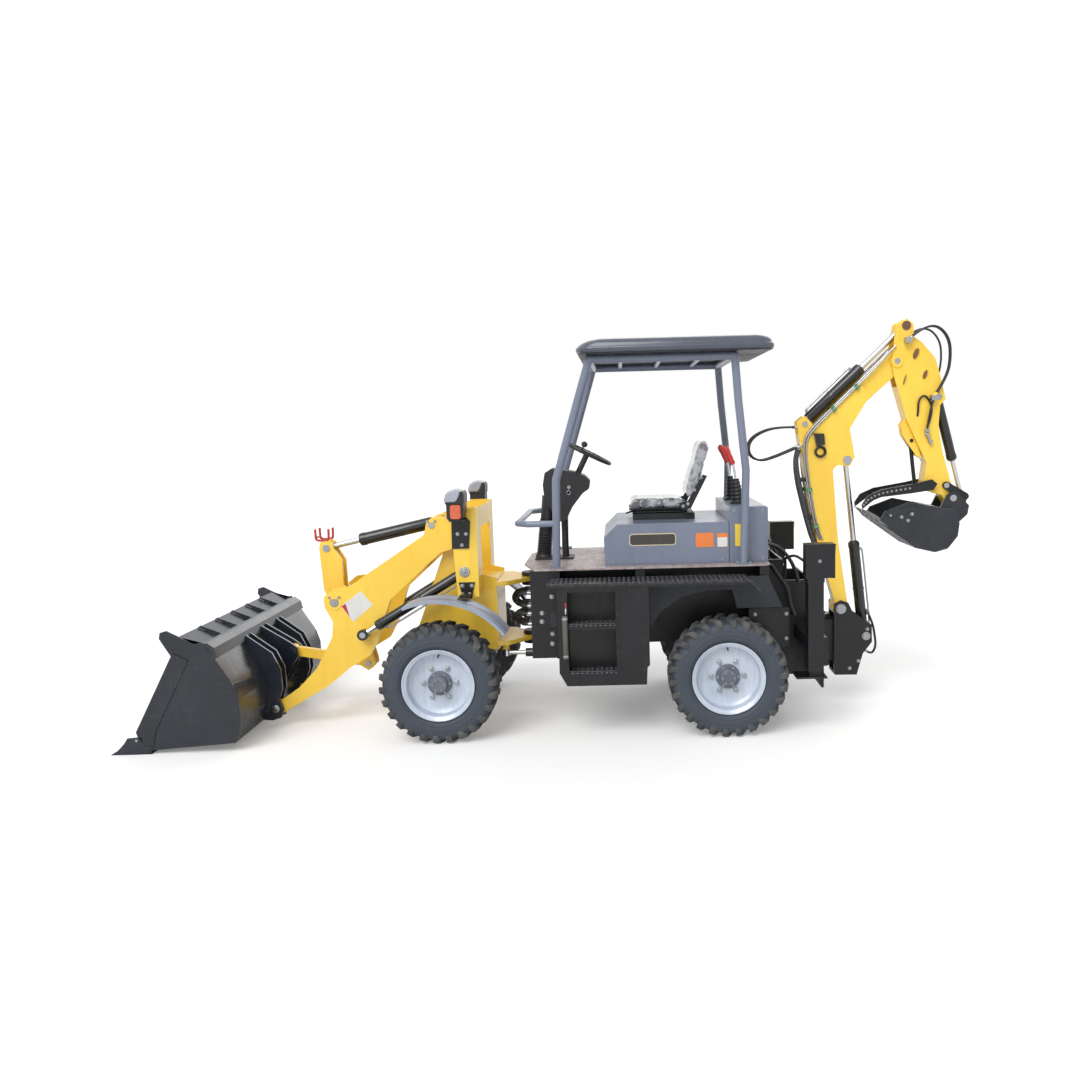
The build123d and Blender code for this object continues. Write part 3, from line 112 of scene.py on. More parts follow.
class Graph:
    """Adds shader nodes to a tree; a value is a number, a colour or another node's socket."""

    def __init__(self, tree: bpy.types.NodeTree) -> None:
        """Keeps the tree that the nodes go into."""
        self.tree = tree

    def feed(self, socket: bpy.types.NodeSocket, value: object) -> None:
        """Links a socket to the input, or sets the input's own value."""
        if isinstance(value, bpy.types.NodeSocket):
            self.tree.links.new(value, socket)
        else:
            socket.default_value = value

    def add(self, kind: str, inputs: dict | None = None, **settings: object) -> bpy.types.Node:
        """Adds a node.

        Args:
            kind: Blender's name of the node type.
            inputs: Values for its sockets by their names.
            settings: Values for its own properties.

        Returns:
            The new node.
        """
        node = self.tree.nodes.new(kind)
        for key, value in settings.items():
            setattr(node, key, value)
        for key, value in (inputs or {}).items():
            self.feed(node.inputs[key], value)
        return node

    def math(self, operation: str, first: object, second: object = 0.0) -> bpy.types.NodeSocket:
        """Result of a sum on two values."""
        node = self.add("ShaderNodeMath", operation=operation)
        self.feed(node.inputs[0], first)
        self.feed(node.inputs[1], second)
        return node.outputs[0]

    def noise(self, place: object, scale: object, detail: float = 3.0) -> bpy.types.NodeSocket:
        """Cloudy values of 0 to 1 at a place."""
        return self.add("ShaderNodeTexNoise", {"Vector": place, "Scale": scale, "Detail": detail}).outputs[0]

    def ramp(self, value: object, low: float, high: float, start: object = 0.0,
             end: object = 1.0) -> bpy.types.NodeSocket:
        """Goes smoothly from start to end while the value goes from low to high."""
        node = self.add("ShaderNodeMapRange", {"Value": value, "From Min": low, "From Max": high,
                                               "To Min": start, "To Max": end},
                        interpolation_type="SMOOTHSTEP")
        return node.outputs["Result"]

    def blend(self, share: object, first: object, second: object) -> bpy.types.NodeSocket:
        """Colour between two colours."""
        node = self.add("ShaderNodeMix", data_type="RGBA")
        for index, value in ((0, share), (6, first), (7, second)):
            self.feed(node.inputs[index], value)
        return node.outputs[2]

    def stretched(self, place: object, scale: Place, turn: float = 0.0) -> bpy.types.NodeSocket:
        """Place scaled by a different amount each way, after a turn about the vertical."""
        node = self.add("ShaderNodeMapping", {"Vector": place, "Scale": scale, "Rotation": (0, 0, turn)})
        return node.outputs[0]

    def group(self, effect: bpy.types.NodeTree, inputs: dict) -> bpy.types.NodeSocket:
        """First output of a shared effect placed in this tree."""
        node = self.add("ShaderNodeGroup", node_tree=effect)
        for key, value in inputs.items():
            self.feed(node.inputs[key], value)
        return node.outputs[0]


def shared_effect(name: str, inputs: dict[str, float | None], output: str,
                  body: Callable[[Graph, dict], bpy.types.NodeSocket]) -> bpy.types.NodeTree:
    """Shader node group, made once.

    Args:
        name: Name of the group.
        inputs: Its number inputs with their usual values; Place, a vector, is always there.
        output: Name of its one output.
        body: Adds the group's nodes and returns what it puts out.

    Returns:
        The group.
    """
    tree = bpy.data.node_groups.get(name)
    if tree is None:
        tree = bpy.data.node_groups.new(name, "ShaderNodeTree")
        tree.interface.new_socket("Place", in_out="INPUT", socket_type="NodeSocketVector")
        for key, value in inputs.items():
            socket = tree.interface.new_socket(key, in_out="INPUT", socket_type="NodeSocketFloat")
            socket.default_value = value
        tree.interface.new_socket(output, in_out="OUTPUT", socket_type="NodeSocketFloat")
        graph = Graph(tree)
        source = graph.add("NodeGroupInput")
        graph.add("NodeGroupOutput", {output: body(graph, source.outputs)})
    return tree


def patches() -> bpy.types.NodeTree:
    """Soft clouds with faint upright streaks: a broad noise plus one stretched down the height."""

    def body(graph: Graph, given: dict) -> bpy.types.NodeSocket:
        cloud = graph.ramp(graph.noise(given["Place"], given["Scale"], 4.0), 0.35, 0.7)
        run = graph.noise(graph.stretched(given["Place"], (9, 9, 1.2)), given["Scale"], 3.0)
        return graph.math("MULTIPLY", graph.math("ADD", cloud, graph.ramp(run, 0.45, 0.75)), 0.5)

    return shared_effect("patches", {"Scale": 3.0}, "Tone", body)


def dust() -> bpy.types.NodeTree:
    """Dust that gathers on upward faces, in clouds and near the ground."""

    def body(graph: Graph, given: dict) -> bpy.types.NodeSocket:
        normal = graph.add("ShaderNodeNewGeometry").outputs["Normal"]
        up = graph.ramp(graph.add("ShaderNodeSeparateXYZ", {"Vector": normal}).outputs["Z"], -0.2, 0.95, 0.25, 1.0)
        height = graph.add("ShaderNodeSeparateXYZ", {"Vector": given["Place"]}).outputs["Z"]
        low = graph.ramp(height, 0.1, 1.2, 1.0, 0.45)
        cloud = graph.ramp(graph.noise(given["Place"], 7.0, 6.0), 0.34, 0.72)
        fine = graph.ramp(graph.noise(given["Place"], 90.0, 2.0), 0.3, 0.7, 0.5, 1.0)
        mask = graph.math("MULTIPLY", graph.math("MULTIPLY", up, low), graph.math("MULTIPLY", cloud, fine))
        return graph.math("MINIMUM", graph.math("MULTIPLY", mask, given["Amount"]), 1.0)

    return shared_effect("dust", {"Amount": 0.5}, "Mask", body)


def edge_wear() -> bpy.types.NodeTree:
    """Chips where a face meets another: how far the rounded normal leaves the flat one, broken by noise."""

    def body(graph: Graph, given: dict) -> bpy.types.NodeSocket:
        flat = graph.add("ShaderNodeNewGeometry").outputs["Normal"]
        rounded = graph.add("ShaderNodeBevel", {"Radius": 0.007}, samples=4).outputs[0]
        dot = graph.add("ShaderNodeVectorMath", operation="DOT_PRODUCT")
        graph.feed(dot.inputs[0], flat)
        graph.feed(dot.inputs[1], rounded)
        edge = graph.ramp(dot.outputs["Value"], 0.8, 0.995, 1.0, 0.0)
        chips = graph.ramp(graph.noise(given["Place"], 28.0, 6.0), 0.5, 0.62)
        return graph.math("MULTIPLY", graph.math("MULTIPLY", edge, chips), given["Amount"])

    return shared_effect("edge_wear", {"Amount": 0.5}, "Mask", body)


def scratches() -> bpy.types.NodeTree:
    """Thin crossing scratches: the crest of two noises, each stretched long one way."""

    def body(graph: Graph, given: dict) -> bpy.types.NodeSocket:
        lines = []
        for scale, turn in (((4, 4, 150), 0.4), ((140, 5, 9), 1.1)):
            value = graph.noise(graph.stretched(given["Place"], scale, turn), 1.0, 2.0)
            gap = graph.math("ABSOLUTE", graph.math("SUBTRACT", value, 0.5))
            lines.append(graph.ramp(gap, 0.0, 0.012, 1.0, 0.0))
        field_of = graph.ramp(graph.noise(given["Place"], 5.0, 2.0), 0.45, 0.7)
        both = graph.math("MULTIPLY", graph.math("MAXIMUM", *lines), field_of)
        return graph.math("MULTIPLY", both, given["Amount"])

    return shared_effect("scratches", {"Amount": 0.5}, "Mask", body)


def chequer() -> bpy.types.NodeTree:
    """Raised slim ovals, each turned a quarter from its neighbours, on a square grid seen from above."""

    def body(graph: Graph, given: dict) -> bpy.types.NodeSocket:
        axes = graph.add("ShaderNodeSeparateXYZ", {"Vector": given["Place"]}).outputs
        cells = [graph.math("DIVIDE", axes[0], given["Size"]), graph.math("DIVIDE", axes[1], given["Size"])]
        parity = graph.math("MODULO", graph.math("ABSOLUTE", graph.math(
            "ADD", graph.math("FLOOR", cells[0]), graph.math("FLOOR", cells[1]))), 2.0)
        first, second = (graph.math("SUBTRACT", graph.math("FRACT", cell), 0.5) for cell in cells)
        total, gap = graph.math("ADD", first, second), graph.math("SUBTRACT", first, second)
        flip = graph.math("SUBTRACT", 1.0, graph.math("MULTIPLY", parity, 2.0))
        swap = graph.math("MULTIPLY", graph.math("ADD", flip, 1.0), 0.5)
        long_way = graph.add("ShaderNodeMix")
        wide_way = graph.add("ShaderNodeMix")
        for node, low, high in ((long_way, total, gap), (wide_way, gap, total)):
            graph.feed(node.inputs[0], swap)
            graph.feed(node.inputs[2], low)
            graph.feed(node.inputs[3], high)
        long_part = graph.math("POWER", graph.math("MULTIPLY", long_way.outputs[0], 1.45), 2.0)
        wide_part = graph.math("POWER", graph.math("MULTIPLY", wide_way.outputs[0], 5.5), 2.0)
        return graph.ramp(graph.math("ADD", long_part, wide_part), 0.55, 1.0, 1.0, 0.0)

    return shared_effect("chequer", {"Size": 0.03}, "Height", body)


def crinkle() -> bpy.types.NodeTree:
    """Sharp folds of a loose clear film: crests of a warped noise at two sizes, also the mask of a painted highlight
    along the folds.
    """

    def body(graph: Graph, given: dict) -> bpy.types.NodeSocket:
        folds = []
        for scale, width in ((6.0, 0.11), (15.0, 0.07)):
            value = graph.noise(given["Place"], scale, 4.0)
            gap = graph.math("ABSOLUTE", graph.math("SUBTRACT", value, 0.5))
            folds.append(graph.ramp(gap, 0.0, width, 1.0, 0.0))
        return graph.math("MULTIPLY", graph.math("MAXIMUM", *folds), given["Amount"])

    return shared_effect("crinkle", {"Amount": 1.0}, "Fold", body)


class Pattern(Enum):
    """What is pressed into a finish or lies over it."""

    PLAIN = "plain"
    CHEQUER = "chequer"
    FILM = "film"
    BRAID = "braid"


@dataclass(frozen=True)
class Finish:
    """One surface finish, with its colours, gloss, grain, dust and wear."""

    name: str
    colour: Colour
    shade: Colour
    roughness: float
    metallic: float = 0.0
    coat: float = 0.0
    dust: float = 0.0
    dust_colour: Colour = (158, 150, 138)
    wear: float = 0.0
    wear_colour: Colour = (120, 112, 100)
    scratch: float = 0.0
    grain: float = 0.08
    grain_scale: float = 400.0
    tone_scale: float = 3.0
    pattern: Pattern = Pattern.PLAIN
    glow: float = 0.0

    def material(self) -> bpy.types.Material:
        """Material of this finish, made once."""
        made = bpy.data.materials.get(f"{self.name}_finish")
        if made is not None:
            return made
        made = bpy.data.materials.new(f"{self.name}_finish")
        made.use_nodes = True
        graph = Graph(made.node_tree)
        shader = made.node_tree.nodes["Principled BSDF"]
        place = graph.add("ShaderNodeTexCoord").outputs["Object"]
        tone = graph.group(patches(), {"Place": place, "Scale": self.tone_scale})
        colour = graph.blend(tone, linear(self.colour), linear(self.shade))
        rough = graph.ramp(tone, 0.0, 1.0, self.roughness * 0.85, min(1.0, self.roughness * 1.25))
        height = graph.math("MULTIPLY", graph.noise(place, self.grain_scale, 2.0), self.grain)
        if self.pattern is Pattern.CHEQUER:
            raised = graph.group(chequer(), {"Place": place})
            colour = graph.blend(graph.math("MULTIPLY", raised, 0.6), colour, linear(self.wear_colour))
            height = graph.math("ADD", height, graph.math("MULTIPLY", raised, 1.6))
        if self.pattern is Pattern.FILM:
            # Film folds press in bumps and lower the roughness, and the colour turns pale grey along them as a painted
            # highlight of the film's creases.
            fold_and_highlight = graph.group(crinkle(), {"Place": place})
            colour = graph.blend(graph.math("MULTIPLY", fold_and_highlight, 0.6), colour, linear((200, 203, 208)))
            rough = graph.math("SUBTRACT", rough, graph.math("MULTIPLY", fold_and_highlight, 0.12))
            height = graph.math("ADD", height, graph.math("MULTIPLY", fold_and_highlight, 1.6))
        if self.pattern is Pattern.BRAID:
            strands = graph.add("ShaderNodeTexVoronoi", {"Vector": place, "Scale": 260.0}).outputs[0]
            height = graph.math("ADD", height, graph.math("MULTIPLY", strands, 0.8))
            colour = graph.blend(graph.ramp(strands, 0.2, 0.8), colour, linear(self.wear_colour))
        if self.scratch:
            mask = graph.group(scratches(), {"Place": place, "Amount": self.scratch})
            colour = graph.blend(mask, colour, linear(self.wear_colour))
            rough = graph.math("ADD", rough, graph.math("MULTIPLY", mask, 0.2))
        if self.wear:
            mask = graph.group(edge_wear(), {"Place": place, "Amount": self.wear})
            colour = graph.blend(mask, colour, linear(self.wear_colour))
        if self.dust:
            mask = graph.group(dust(), {"Place": place, "Amount": self.dust})
            colour = graph.blend(mask, colour, linear(self.dust_colour))
            rough = graph.math("ADD", rough, graph.math("MULTIPLY", mask, 0.45))
        bump = graph.add("ShaderNodeBump", {"Height": height, "Distance": MM, "Strength": 1.0})
        graph.feed(shader.inputs["Base Color"], colour)
        graph.feed(shader.inputs["Roughness"], rough)
        graph.feed(shader.inputs["Normal"], bump.outputs[0])
        shader.inputs["Metallic"].default_value = self.metallic
        shader.inputs["Coat Weight"].default_value = self.coat
        shader.inputs["Coat Roughness"].default_value = 0.12
        if self.glow:
            graph.feed(shader.inputs["Emission Color"], colour)
            shader.inputs["Emission Strength"].default_value = self.glow
        return made


YELLOW = Finish("yellow_paint", (251, 210, 74), (245, 199, 63), 0.36, coat=0.25, dust=0.12,
                dust_colour=(214, 188, 128), wear=0.5, wear_colour=(110, 92, 62), tone_scale=2.0)
BLACK = Finish("black_paint", (5, 7, 12), (10, 12, 18), 0.4, coat=0.0, dust=0.05,
               dust_colour=(100, 100, 102), wear=0.3, wear_colour=(120, 120, 120), scratch=0.12)
BUCKET_BLACK = Finish("bucket_paint", (30, 35, 45), (40, 46, 57), 0.26, coat=0.15, dust=0.1,
                      dust_colour=(100, 102, 105), wear=0.5, wear_colour=(128, 130, 133), scratch=0.3)
CHARCOAL = Finish("bucket_side_paint", (27, 31, 38), (37, 42, 50), 0.46, dust=0.12,
                  dust_colour=(104, 105, 106), wear=0.4, wear_colour=(130, 131, 133), scratch=0.2)
RAM_BLACK = Finish("ram_paint", (14, 15, 17), (22, 23, 25), 0.22, coat=0.3, dust=0.1,
                   dust_colour=(120, 118, 114), wear=0.2)
GREY = Finish("grey_paint", (118, 127, 147), (106, 115, 134), 0.34, coat=0.2, dust=0.16,
              dust_colour=(144, 146, 150), wear=0.25, wear_colour=(150, 150, 150), tone_scale=1.6)
ROOF = Finish("roof_shell", (74, 81, 95), (64, 70, 84), 0.24, coat=0.3, dust=0.2,
              dust_colour=(158, 160, 163), grain=0.12, grain_scale=160.0)
ROOF_UNDER = Finish("roof_underside", (38, 40, 44), (48, 50, 54), 0.55)
FENDER = Finish("fender_plastic", (150, 161, 180), (130, 141, 160), 0.34, dust=0.5,
                dust_colour=(166, 170, 176), grain=0.2, grain_scale=260.0)
DECK = Finish("deck_plate", (184, 170, 168), (96, 78, 80), 0.42, metallic=0.2, dust=0.5, tone_scale=26.0,
              dust_colour=(178, 168, 164), wear_colour=(208, 198, 196), scratch=0.5, pattern=Pattern.CHEQUER)
TREAD = Finish("tread_strip", (22, 24, 28), (34, 36, 40), 0.28, dust=0.2, wear_colour=(196, 200, 206),
               dust_colour=(120, 118, 114), pattern=Pattern.CHEQUER, coat=0.2)
RUBBER = Finish("tyre_rubber", (54, 61, 71), (68, 76, 87), 0.7, dust=0.25, dust_colour=(98, 107, 120),
                grain=0.35, grain_scale=220.0, tone_scale=6.0)
LUG_RUBBER = Finish("lug_rubber", (50, 53, 58), (92, 92, 90), 0.8, dust=0.8, dust_colour=(140, 138, 132),
                    grain=0.6, grain_scale=160.0, tone_scale=9.0)
SILVER = Finish("rim_paint", (200, 209, 222), (176, 187, 202), 0.34, metallic=0.15, dust=0.25,
                dust_colour=(140, 146, 154), wear=0.2, tone_scale=5.0)
HUB = Finish("hub_paint", (84, 93, 108), (108, 116, 130), 0.46, dust=0.5, wear=0.5, wear_colour=(160, 162, 166))
ZINC = Finish("zinc_plate", (176, 178, 180), (146, 147, 148), 0.3, metallic=0.9, dust=0.2, grain=0.1)
CHROME = Finish("chrome_rod", (212, 214, 217), (196, 198, 201), 0.1, metallic=1.0, grain=0.02)
STEEL = Finish("bare_steel", (132, 133, 135), (104, 104, 105), 0.42, metallic=0.8, dust=0.3, scratch=0.6,
               wear_colour=(190, 190, 190))
PLASTIC = Finish("black_plastic", (24, 25, 28), (36, 37, 41), 0.5, dust=0.2, dust_colour=(130, 128, 124),
                 grain=0.25, grain_scale=300.0)
HOSE = Finish("hose_rubber", (20, 20, 22), (30, 30, 32), 0.42, dust=0.2, grain=0.3, grain_scale=500.0)
SLEEVE = Finish("braided_sleeve", (34, 35, 37), (46, 46, 48), 0.6, wear_colour=(84, 85, 88),
                pattern=Pattern.BRAID)
PALE_GREY = Finish("lamp_hood", (164, 170, 180), (150, 156, 166), 0.3, coat=0.3, dust=0.2)
ORANGE_LENS = Finish("indicator_lens", (214, 96, 56), (186, 70, 42), 0.16, coat=0.6, grain=1.2,
                     grain_scale=110.0, tone_scale=30.0, glow=0.05)
CLEAR_LENS = Finish("lamp_lens", (214, 218, 222), (178, 184, 190), 0.08, coat=0.8, grain=0.8,
                    grain_scale=110.0)
RED_PLASTIC = Finish("red_grip", (206, 52, 42), (186, 42, 34), 0.36, coat=0.3)
RED_PAINT = Finish("red_paint", (196, 44, 44), (176, 36, 38), 0.4, dust=0.2)
OLIVE = Finish("olive_tube", (88, 90, 82), (74, 76, 68), 0.4, coat=0.2, dust=0.3)
RUST = Finish("primer_brown", (112, 82, 66), (94, 70, 58), 0.7, dust=0.3)
SHADED = Finish("shaded_yellow", (206, 158, 62), (190, 142, 54), 0.5)
SHADOW = Finish("shaded_hole", (116, 86, 44), (96, 70, 38), 0.6)
GREEN = Finish("green_clamp", (66, 142, 96), (54, 122, 82), 0.45)
# Seat vinyl under clear film; the film pattern lightens its colour along the folds as a painted highlight.
VINYL = Finish("seat_vinyl", (84, 87, 92), (118, 121, 127), 0.3, coat=0.9, grain=0.3, grain_scale=420.0,
               pattern=Pattern.FILM)
PLATE_DARK = Finish("plate_dark", (44, 42, 40), (54, 51, 48), 0.3, coat=0.4)
PLATE_GOLD = Finish("plate_border", (214, 204, 168), (198, 188, 150), 0.35)
PLATE_ORANGE = Finish("plate_orange", (236, 130, 58), (226, 118, 50), 0.32, coat=0.3)
PLATE_YELLOW = Finish("plate_yellow", (240, 206, 70), (230, 196, 62), 0.35, coat=0.3)
PLATE_WHITE = Finish("plate_white", (226, 226, 222), (212, 212, 208), 0.35, coat=0.3)


def settle(mesh: bpy.types.Mesh, name: str, body: str, finishes: Sequence[Finish], bevel: float = 0.0,
           angle: float = 36.0, levels: int = 0, slot: str | None = None,
           stands_for: Sequence[str] = ()) -> bpy.types.Object:
    """Makes a finished object of a mesh and lets it ride on its body.

    Args:
        mesh: Mesh in metres, in the row frame.
        name: Name of the piece.
        body: CAD body that it moves with.
        finishes: Finishes by material index.
        bevel: Width of the softened edges in millimetres, or 0.
        angle: Edges sharper than this many degrees stay sharp or are softened.
        levels: Steps of smooth subdivision.
        slot: Material slot of the record; not used.
        stands_for: CAD nodes that the piece replaces.

    Returns:
        The object.
    """
    mesh.shade_smooth()
    mesh.set_sharp_from_angle(angle=math.radians(angle))
    piece = bpy.data.objects.new(name, mesh)
    bpy.context.scene.collection.objects.link(piece)
    for finish in finishes:
        mesh.materials.append(finish.material())
    if levels:
        smooth = piece.modifiers.new("smooth", "SUBSURF")
        smooth.levels = smooth.render_levels = levels
    if bevel:
        soft = piece.modifiers.new("soft_edges", "BEVEL")
        soft.width = bevel * MM
        soft.segments = 2
        soft.limit_method = "ANGLE"
        soft.angle_limit = math.radians(angle)
        soft.harden_normals = True
    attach(piece, body)
    if stands_for:
        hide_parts(*stands_for)
    return piece


def near(spot: Spot, radius: float, beyond: float = 0.0) -> Chooser:
    """Chooses faces whose middle is near a side-view point and further out than `beyond`."""
    return lambda c: (np.hypot(c[:, 0] - spot[0], c[:, 2] - spot[1]) < radius) & (np.abs(c[:, 1]) > beyond)


def within(low: Place, high: Place) -> Chooser:
    """Chooses faces whose middle is inside a box."""
    return lambda c: ((c >= np.asarray(low)) & (c <= np.asarray(high))).all(axis=1)


def dress(node: str, *finishes: Finish, choose: Sequence[tuple[int, Chooser]] = (), bevel: float = 2.0,
          angle: float = 36.0, slot: str | None = None, squeeze: Place = (1, 1, 1),
          join: float = 0.8) -> bpy.types.Object:
    """Copy of a CAD node with merged points, joined flat faces, softened edges and its finishes.

    Args:
        node: Name of the node that the copy replaces.
        finishes: Finishes by material index; the first is the main one.
        choose: Pairs of a material index and the chooser of its faces.
        bevel: Width of the softened edges in millimetres.
        angle: Edges sharper than this many degrees are softened.
        slot: Material slot of the record; not used.
        squeeze: Scale about the origin, a little under 1 where thin plates are laid on.
        join: Faces that meet flatter than this many degrees are joined.

    Returns:
        The object.
    """
    source = frame["nodes"][node]
    mesh = source.data.copy()
    mesh.materials.clear()
    mesh.transform(Matrix.Diagonal((*squeeze, 1)))
    work = bmesh.new()
    work.from_mesh(mesh)
    bmesh.ops.remove_doubles(work, verts=work.verts, dist=1e-5)
    bmesh.ops.dissolve_limit(work, angle_limit=math.radians(join), verts=work.verts, edges=work.edges)
    work.to_mesh(mesh)
    work.free()
    centres = np.empty(len(mesh.polygons) * 3)
    mesh.polygons.foreach_get("center", centres)
    centres = centres.reshape(-1, 3) / MM - (FRONT_AXLE, 0, 0)
    marks = np.zeros(len(mesh.polygons), np.int32)
    for mark, chooser in choose:
        marks[chooser(centres)] = mark
    mesh.polygons.foreach_set("material_index", marks)
    return settle(mesh, f"{node}_dressed", source["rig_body"], finishes, bevel, angle, 0, slot, (node,))


def route_line(route: Sequence[Place], steps: int = 8) -> np.ndarray:
    """Points along the smooth NURBS curve that a route's points steer, in millimetres."""
    curve = route_curve("route", route, 0.0)
    curve.resolution_u = steps
    holder = bpy.data.objects.new("route", curve)
    mesh = bpy.data.meshes.new_from_object(holder)
    points = np.empty(len(mesh.vertices) * 3)
    mesh.vertices.foreach_get("co", points)
    bpy.data.objects.remove(holder)
    bpy.data.curves.remove(curve)
    bpy.data.meshes.remove(mesh)
    return points.reshape(-1, 3) / MM - (FRONT_AXLE, 0, 0)


def route_curve(name: str, route: Sequence[Place], radius: float) -> bpy.types.Curve:
    """Curve with one NURBS spline whose control points are the route."""
    curve = bpy.data.curves.new(name, "CURVE")
    curve.dimensions = "3D"
    curve.bevel_depth = radius * MM
    curve.bevel_resolution = 4
    curve.resolution_u = 10
    curve.use_fill_caps = True
    line = curve.splines.new("NURBS")
    line.points.add(len(route) - 1)
    line.points.foreach_set("co", np.c_[placed(np.asarray(route)), np.ones(len(route))].ravel())
    line.order_u = 3
    line.use_endpoint_u = True
    return curve


@dataclass
class Shape:
    """A piece while it is put together: blocks of points, faces and the finish of each face."""

    points: list[np.ndarray] = field(default_factory=list)
    faces: list[list[int]] = field(default_factory=list)
    marks: list[int] = field(default_factory=list)
    count: int = 0

    def add(self, points: np.ndarray, faces: np.ndarray, mark: int) -> None:
        """Adds points and the faces between them, numbered from the block's first point."""
        self.points.append(placed(points.reshape(-1, 3)))
        self.faces += (faces + self.count).tolist()
        self.marks += [mark] * len(faces)

    def close(self) -> None:
        """Moves the count on past the points added so far."""
        self.count = sum(len(block) for block in self.points)

    def sheets(self, points: np.ndarray, mark: int = 0, around: bool = False, along: bool = False,
               caps: bool = False) -> "Shape":
        """Quads between neighbours of several (stations, ring) grids of points.

        Args:
            points: Array of (grid, station, ring point, 3).
            mark: Material index.
            around: The ring closes on itself.
            along: The last station joins the first.
            caps: The first and last rings are filled.

        Returns:
            The shape itself.
        """
        grids, n, m = points.shape[:3]
        i = np.arange(n if along else n - 1)[:, None]
        j = np.arange(m if around else m - 1)[None, :]
        quads = np.stack([i * m + j, (i + 1) % n * m + j, (i + 1) % n * m + (j + 1) % m,
                          i * m + (j + 1) % m], -1).reshape(1, -1, 4)
        start = np.arange(grids)[:, None, None] * n * m
        self.add(points, (quads + start).reshape(-1, 4), mark)
        if caps:
            ends = np.stack([np.arange(m)[::-1], np.arange(m) + (n - 1) * m])[None]
            ends = (ends + start).reshape(-1, m) + self.count
            self.faces += ends.tolist()
            self.marks += [mark] * len(ends)
        self.close()
        return self

    def turned(self, profile: Sequence[Spot], places: Sequence[Place], way: Place, sides: int = 24,
               mark: int = 0, phase: float = 0.0, loop: bool = False) -> "Shape":
        """Rounds about an axis: a ring of `radius * (cosine, sine)` at each (along, radius) of the profile.

        Args:
            profile: Distances along the axis with their radii.
            places: Where each round stands.
            way: Direction of the axis.
            sides: Points of a ring.
            mark: Material index.
            phase: Angle of the first point.
            loop: The profile closes on itself.

        Returns:
            The shape itself.
        """
        axis = unit(way)
        first = unit(np.cross(axis, (0.0, 0.0, 1.0) if abs(axis[2]) < 0.9 else (1.0, 0.0, 0.0)))
        second = np.cross(axis, first)
        turn = phase + np.linspace(0, 2 * math.pi, sides, endpoint=False)[:, None]
        ring = np.cos(turn) * first + np.sin(turn) * second
        steps = np.asarray(profile, float)
        spots = np.atleast_2d(np.asarray(places, float))
        grid = (spots[:, None, None, :] + steps[None, :, None, :1] * axis
                + steps[None, :, None, 1:] * ring[None, None])
        return self.sheets(grid, mark, around=True, along=loop)

    def tube(self, line: np.ndarray, radius: float | np.ndarray, sides: int = 14, mark: int = 0) -> "Shape":
        """Round tube along points: rings across the line, turned by the line's flattest direction."""
        line = np.asarray(line, float)
        ways = np.gradient(line, axis=0)
        ways /= np.linalg.norm(ways, axis=1, keepdims=True)
        flat = np.linalg.svd(line - line.mean(axis=0))[2][-1]
        if len(line) < 3:
            flat = unit(np.cross(ways[0], (0.3, 1.0, 0.2)))
        first = flat - (ways @ flat)[:, None] * ways
        first /= np.linalg.norm(first, axis=1, keepdims=True)
        second = np.cross(ways, first)
        turn = np.linspace(0, 2 * math.pi, sides, endpoint=False)[None, :, None]
        ring = np.cos(turn) * first[:, None] + np.sin(turn) * second[:, None]
        size = np.broadcast_to(np.asarray(radius, float), (len(line),))[:, None, None]
        return self.sheets((line[:, None] + size * ring)[None], mark, around=True, caps=True)

    def prism(self, outline: np.ndarray, way: Place, mark: int = 0) -> "Shape":
        """Solid between an outline in space and the same outline moved by `way`."""
        outline = np.asarray(outline, float)
        return self.sheets(np.stack([outline, outline + np.asarray(way, float)])[None], mark, around=True, caps=True)

    def plate(self, outline: Sequence[Spot], left: float, far: float, mark: int = 0) -> "Shape":
        """Plate whose outline is seen from the side, between two distances left of the middle."""
        spots = np.asarray(outline, float)
        return self.prism(np.c_[spots[:, 0], np.full(len(spots), left), spots[:, 1]], (0, far - left, 0), mark)

    def block(self, low: Place, high: Place, mark: int = 0) -> "Shape":
        """Box between two corners."""
        return self.plate([(low[0], low[2]), (high[0], low[2]), (high[0], high[2]), (low[0], high[2])],
                          low[1], high[1], mark)

    def bolts(self, places: Sequence[Place], way: Place, size: float = 9.0, mark: int = 0) -> "Shape":
        """Hexagon heads on washers."""
        tall = size * 0.75
        self.turned([(0, 0), (0, size * 1.35), (1.6, size * 1.35), (1.6, size)], places, way, 18, mark)
        return self.turned([(1.6, size), (tall, size), (tall + 1.5, size * 0.8), (tall + 1.5, 0)],
                           places, way, 6, mark)

    def build(self, name: str, body: str, *finishes: Finish, **options: object) -> bpy.types.Object:
        """Object of the shape, with doubles merged and faces turned outwards."""
        mesh = bpy.data.meshes.new(name)
        mesh.from_pydata(np.concatenate(self.points).tolist(), [], self.faces)
        mesh.polygons.foreach_set("material_index", self.marks)
        work = bmesh.new()
        work.from_mesh(mesh)
        bmesh.ops.remove_doubles(work, verts=work.verts, dist=2e-5)
        bmesh.ops.recalc_face_normals(work, faces=work.faces)
        work.to_mesh(mesh)
        work.free()
        return settle(mesh, name, body, finishes, **options)


def rounded_outline(low: Spot, high: Spot, radius: float, steps: int = 5) -> np.ndarray:
    """Rectangle whose corners are quarter circles: each corner's centre plus radius * (cosine, sine)."""
    turn = np.linspace(0, math.pi / 2, steps)
    corners = ((high[0] - radius, high[1] - radius, 0), (low[0] + radius, high[1] - radius, 1),
               (low[0] + radius, low[1] + radius, 2), (high[0] - radius, low[1] + radius, 3))
    arcs = [np.c_[x + radius * np.cos(turn + k * math.pi / 2), y + radius * np.sin(turn + k * math.pi / 2)]
            for x, y, k in corners]
    return np.concatenate(arcs)


def free_hose(name: str, body: str, route: Sequence[Place], diameter: float,
              node: str) -> bpy.types.Object:
    """Free hose on its CAD route."""
    curve = route_curve(name, route, diameter / 2)
    curve.materials.append(HOSE.material())
    piece = bpy.data.objects.new(name, curve)
    bpy.context.scene.collection.objects.link(piece)
    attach(piece, body)
    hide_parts(node)
    placed(np.asarray(route[0])).tolist()
    return piece


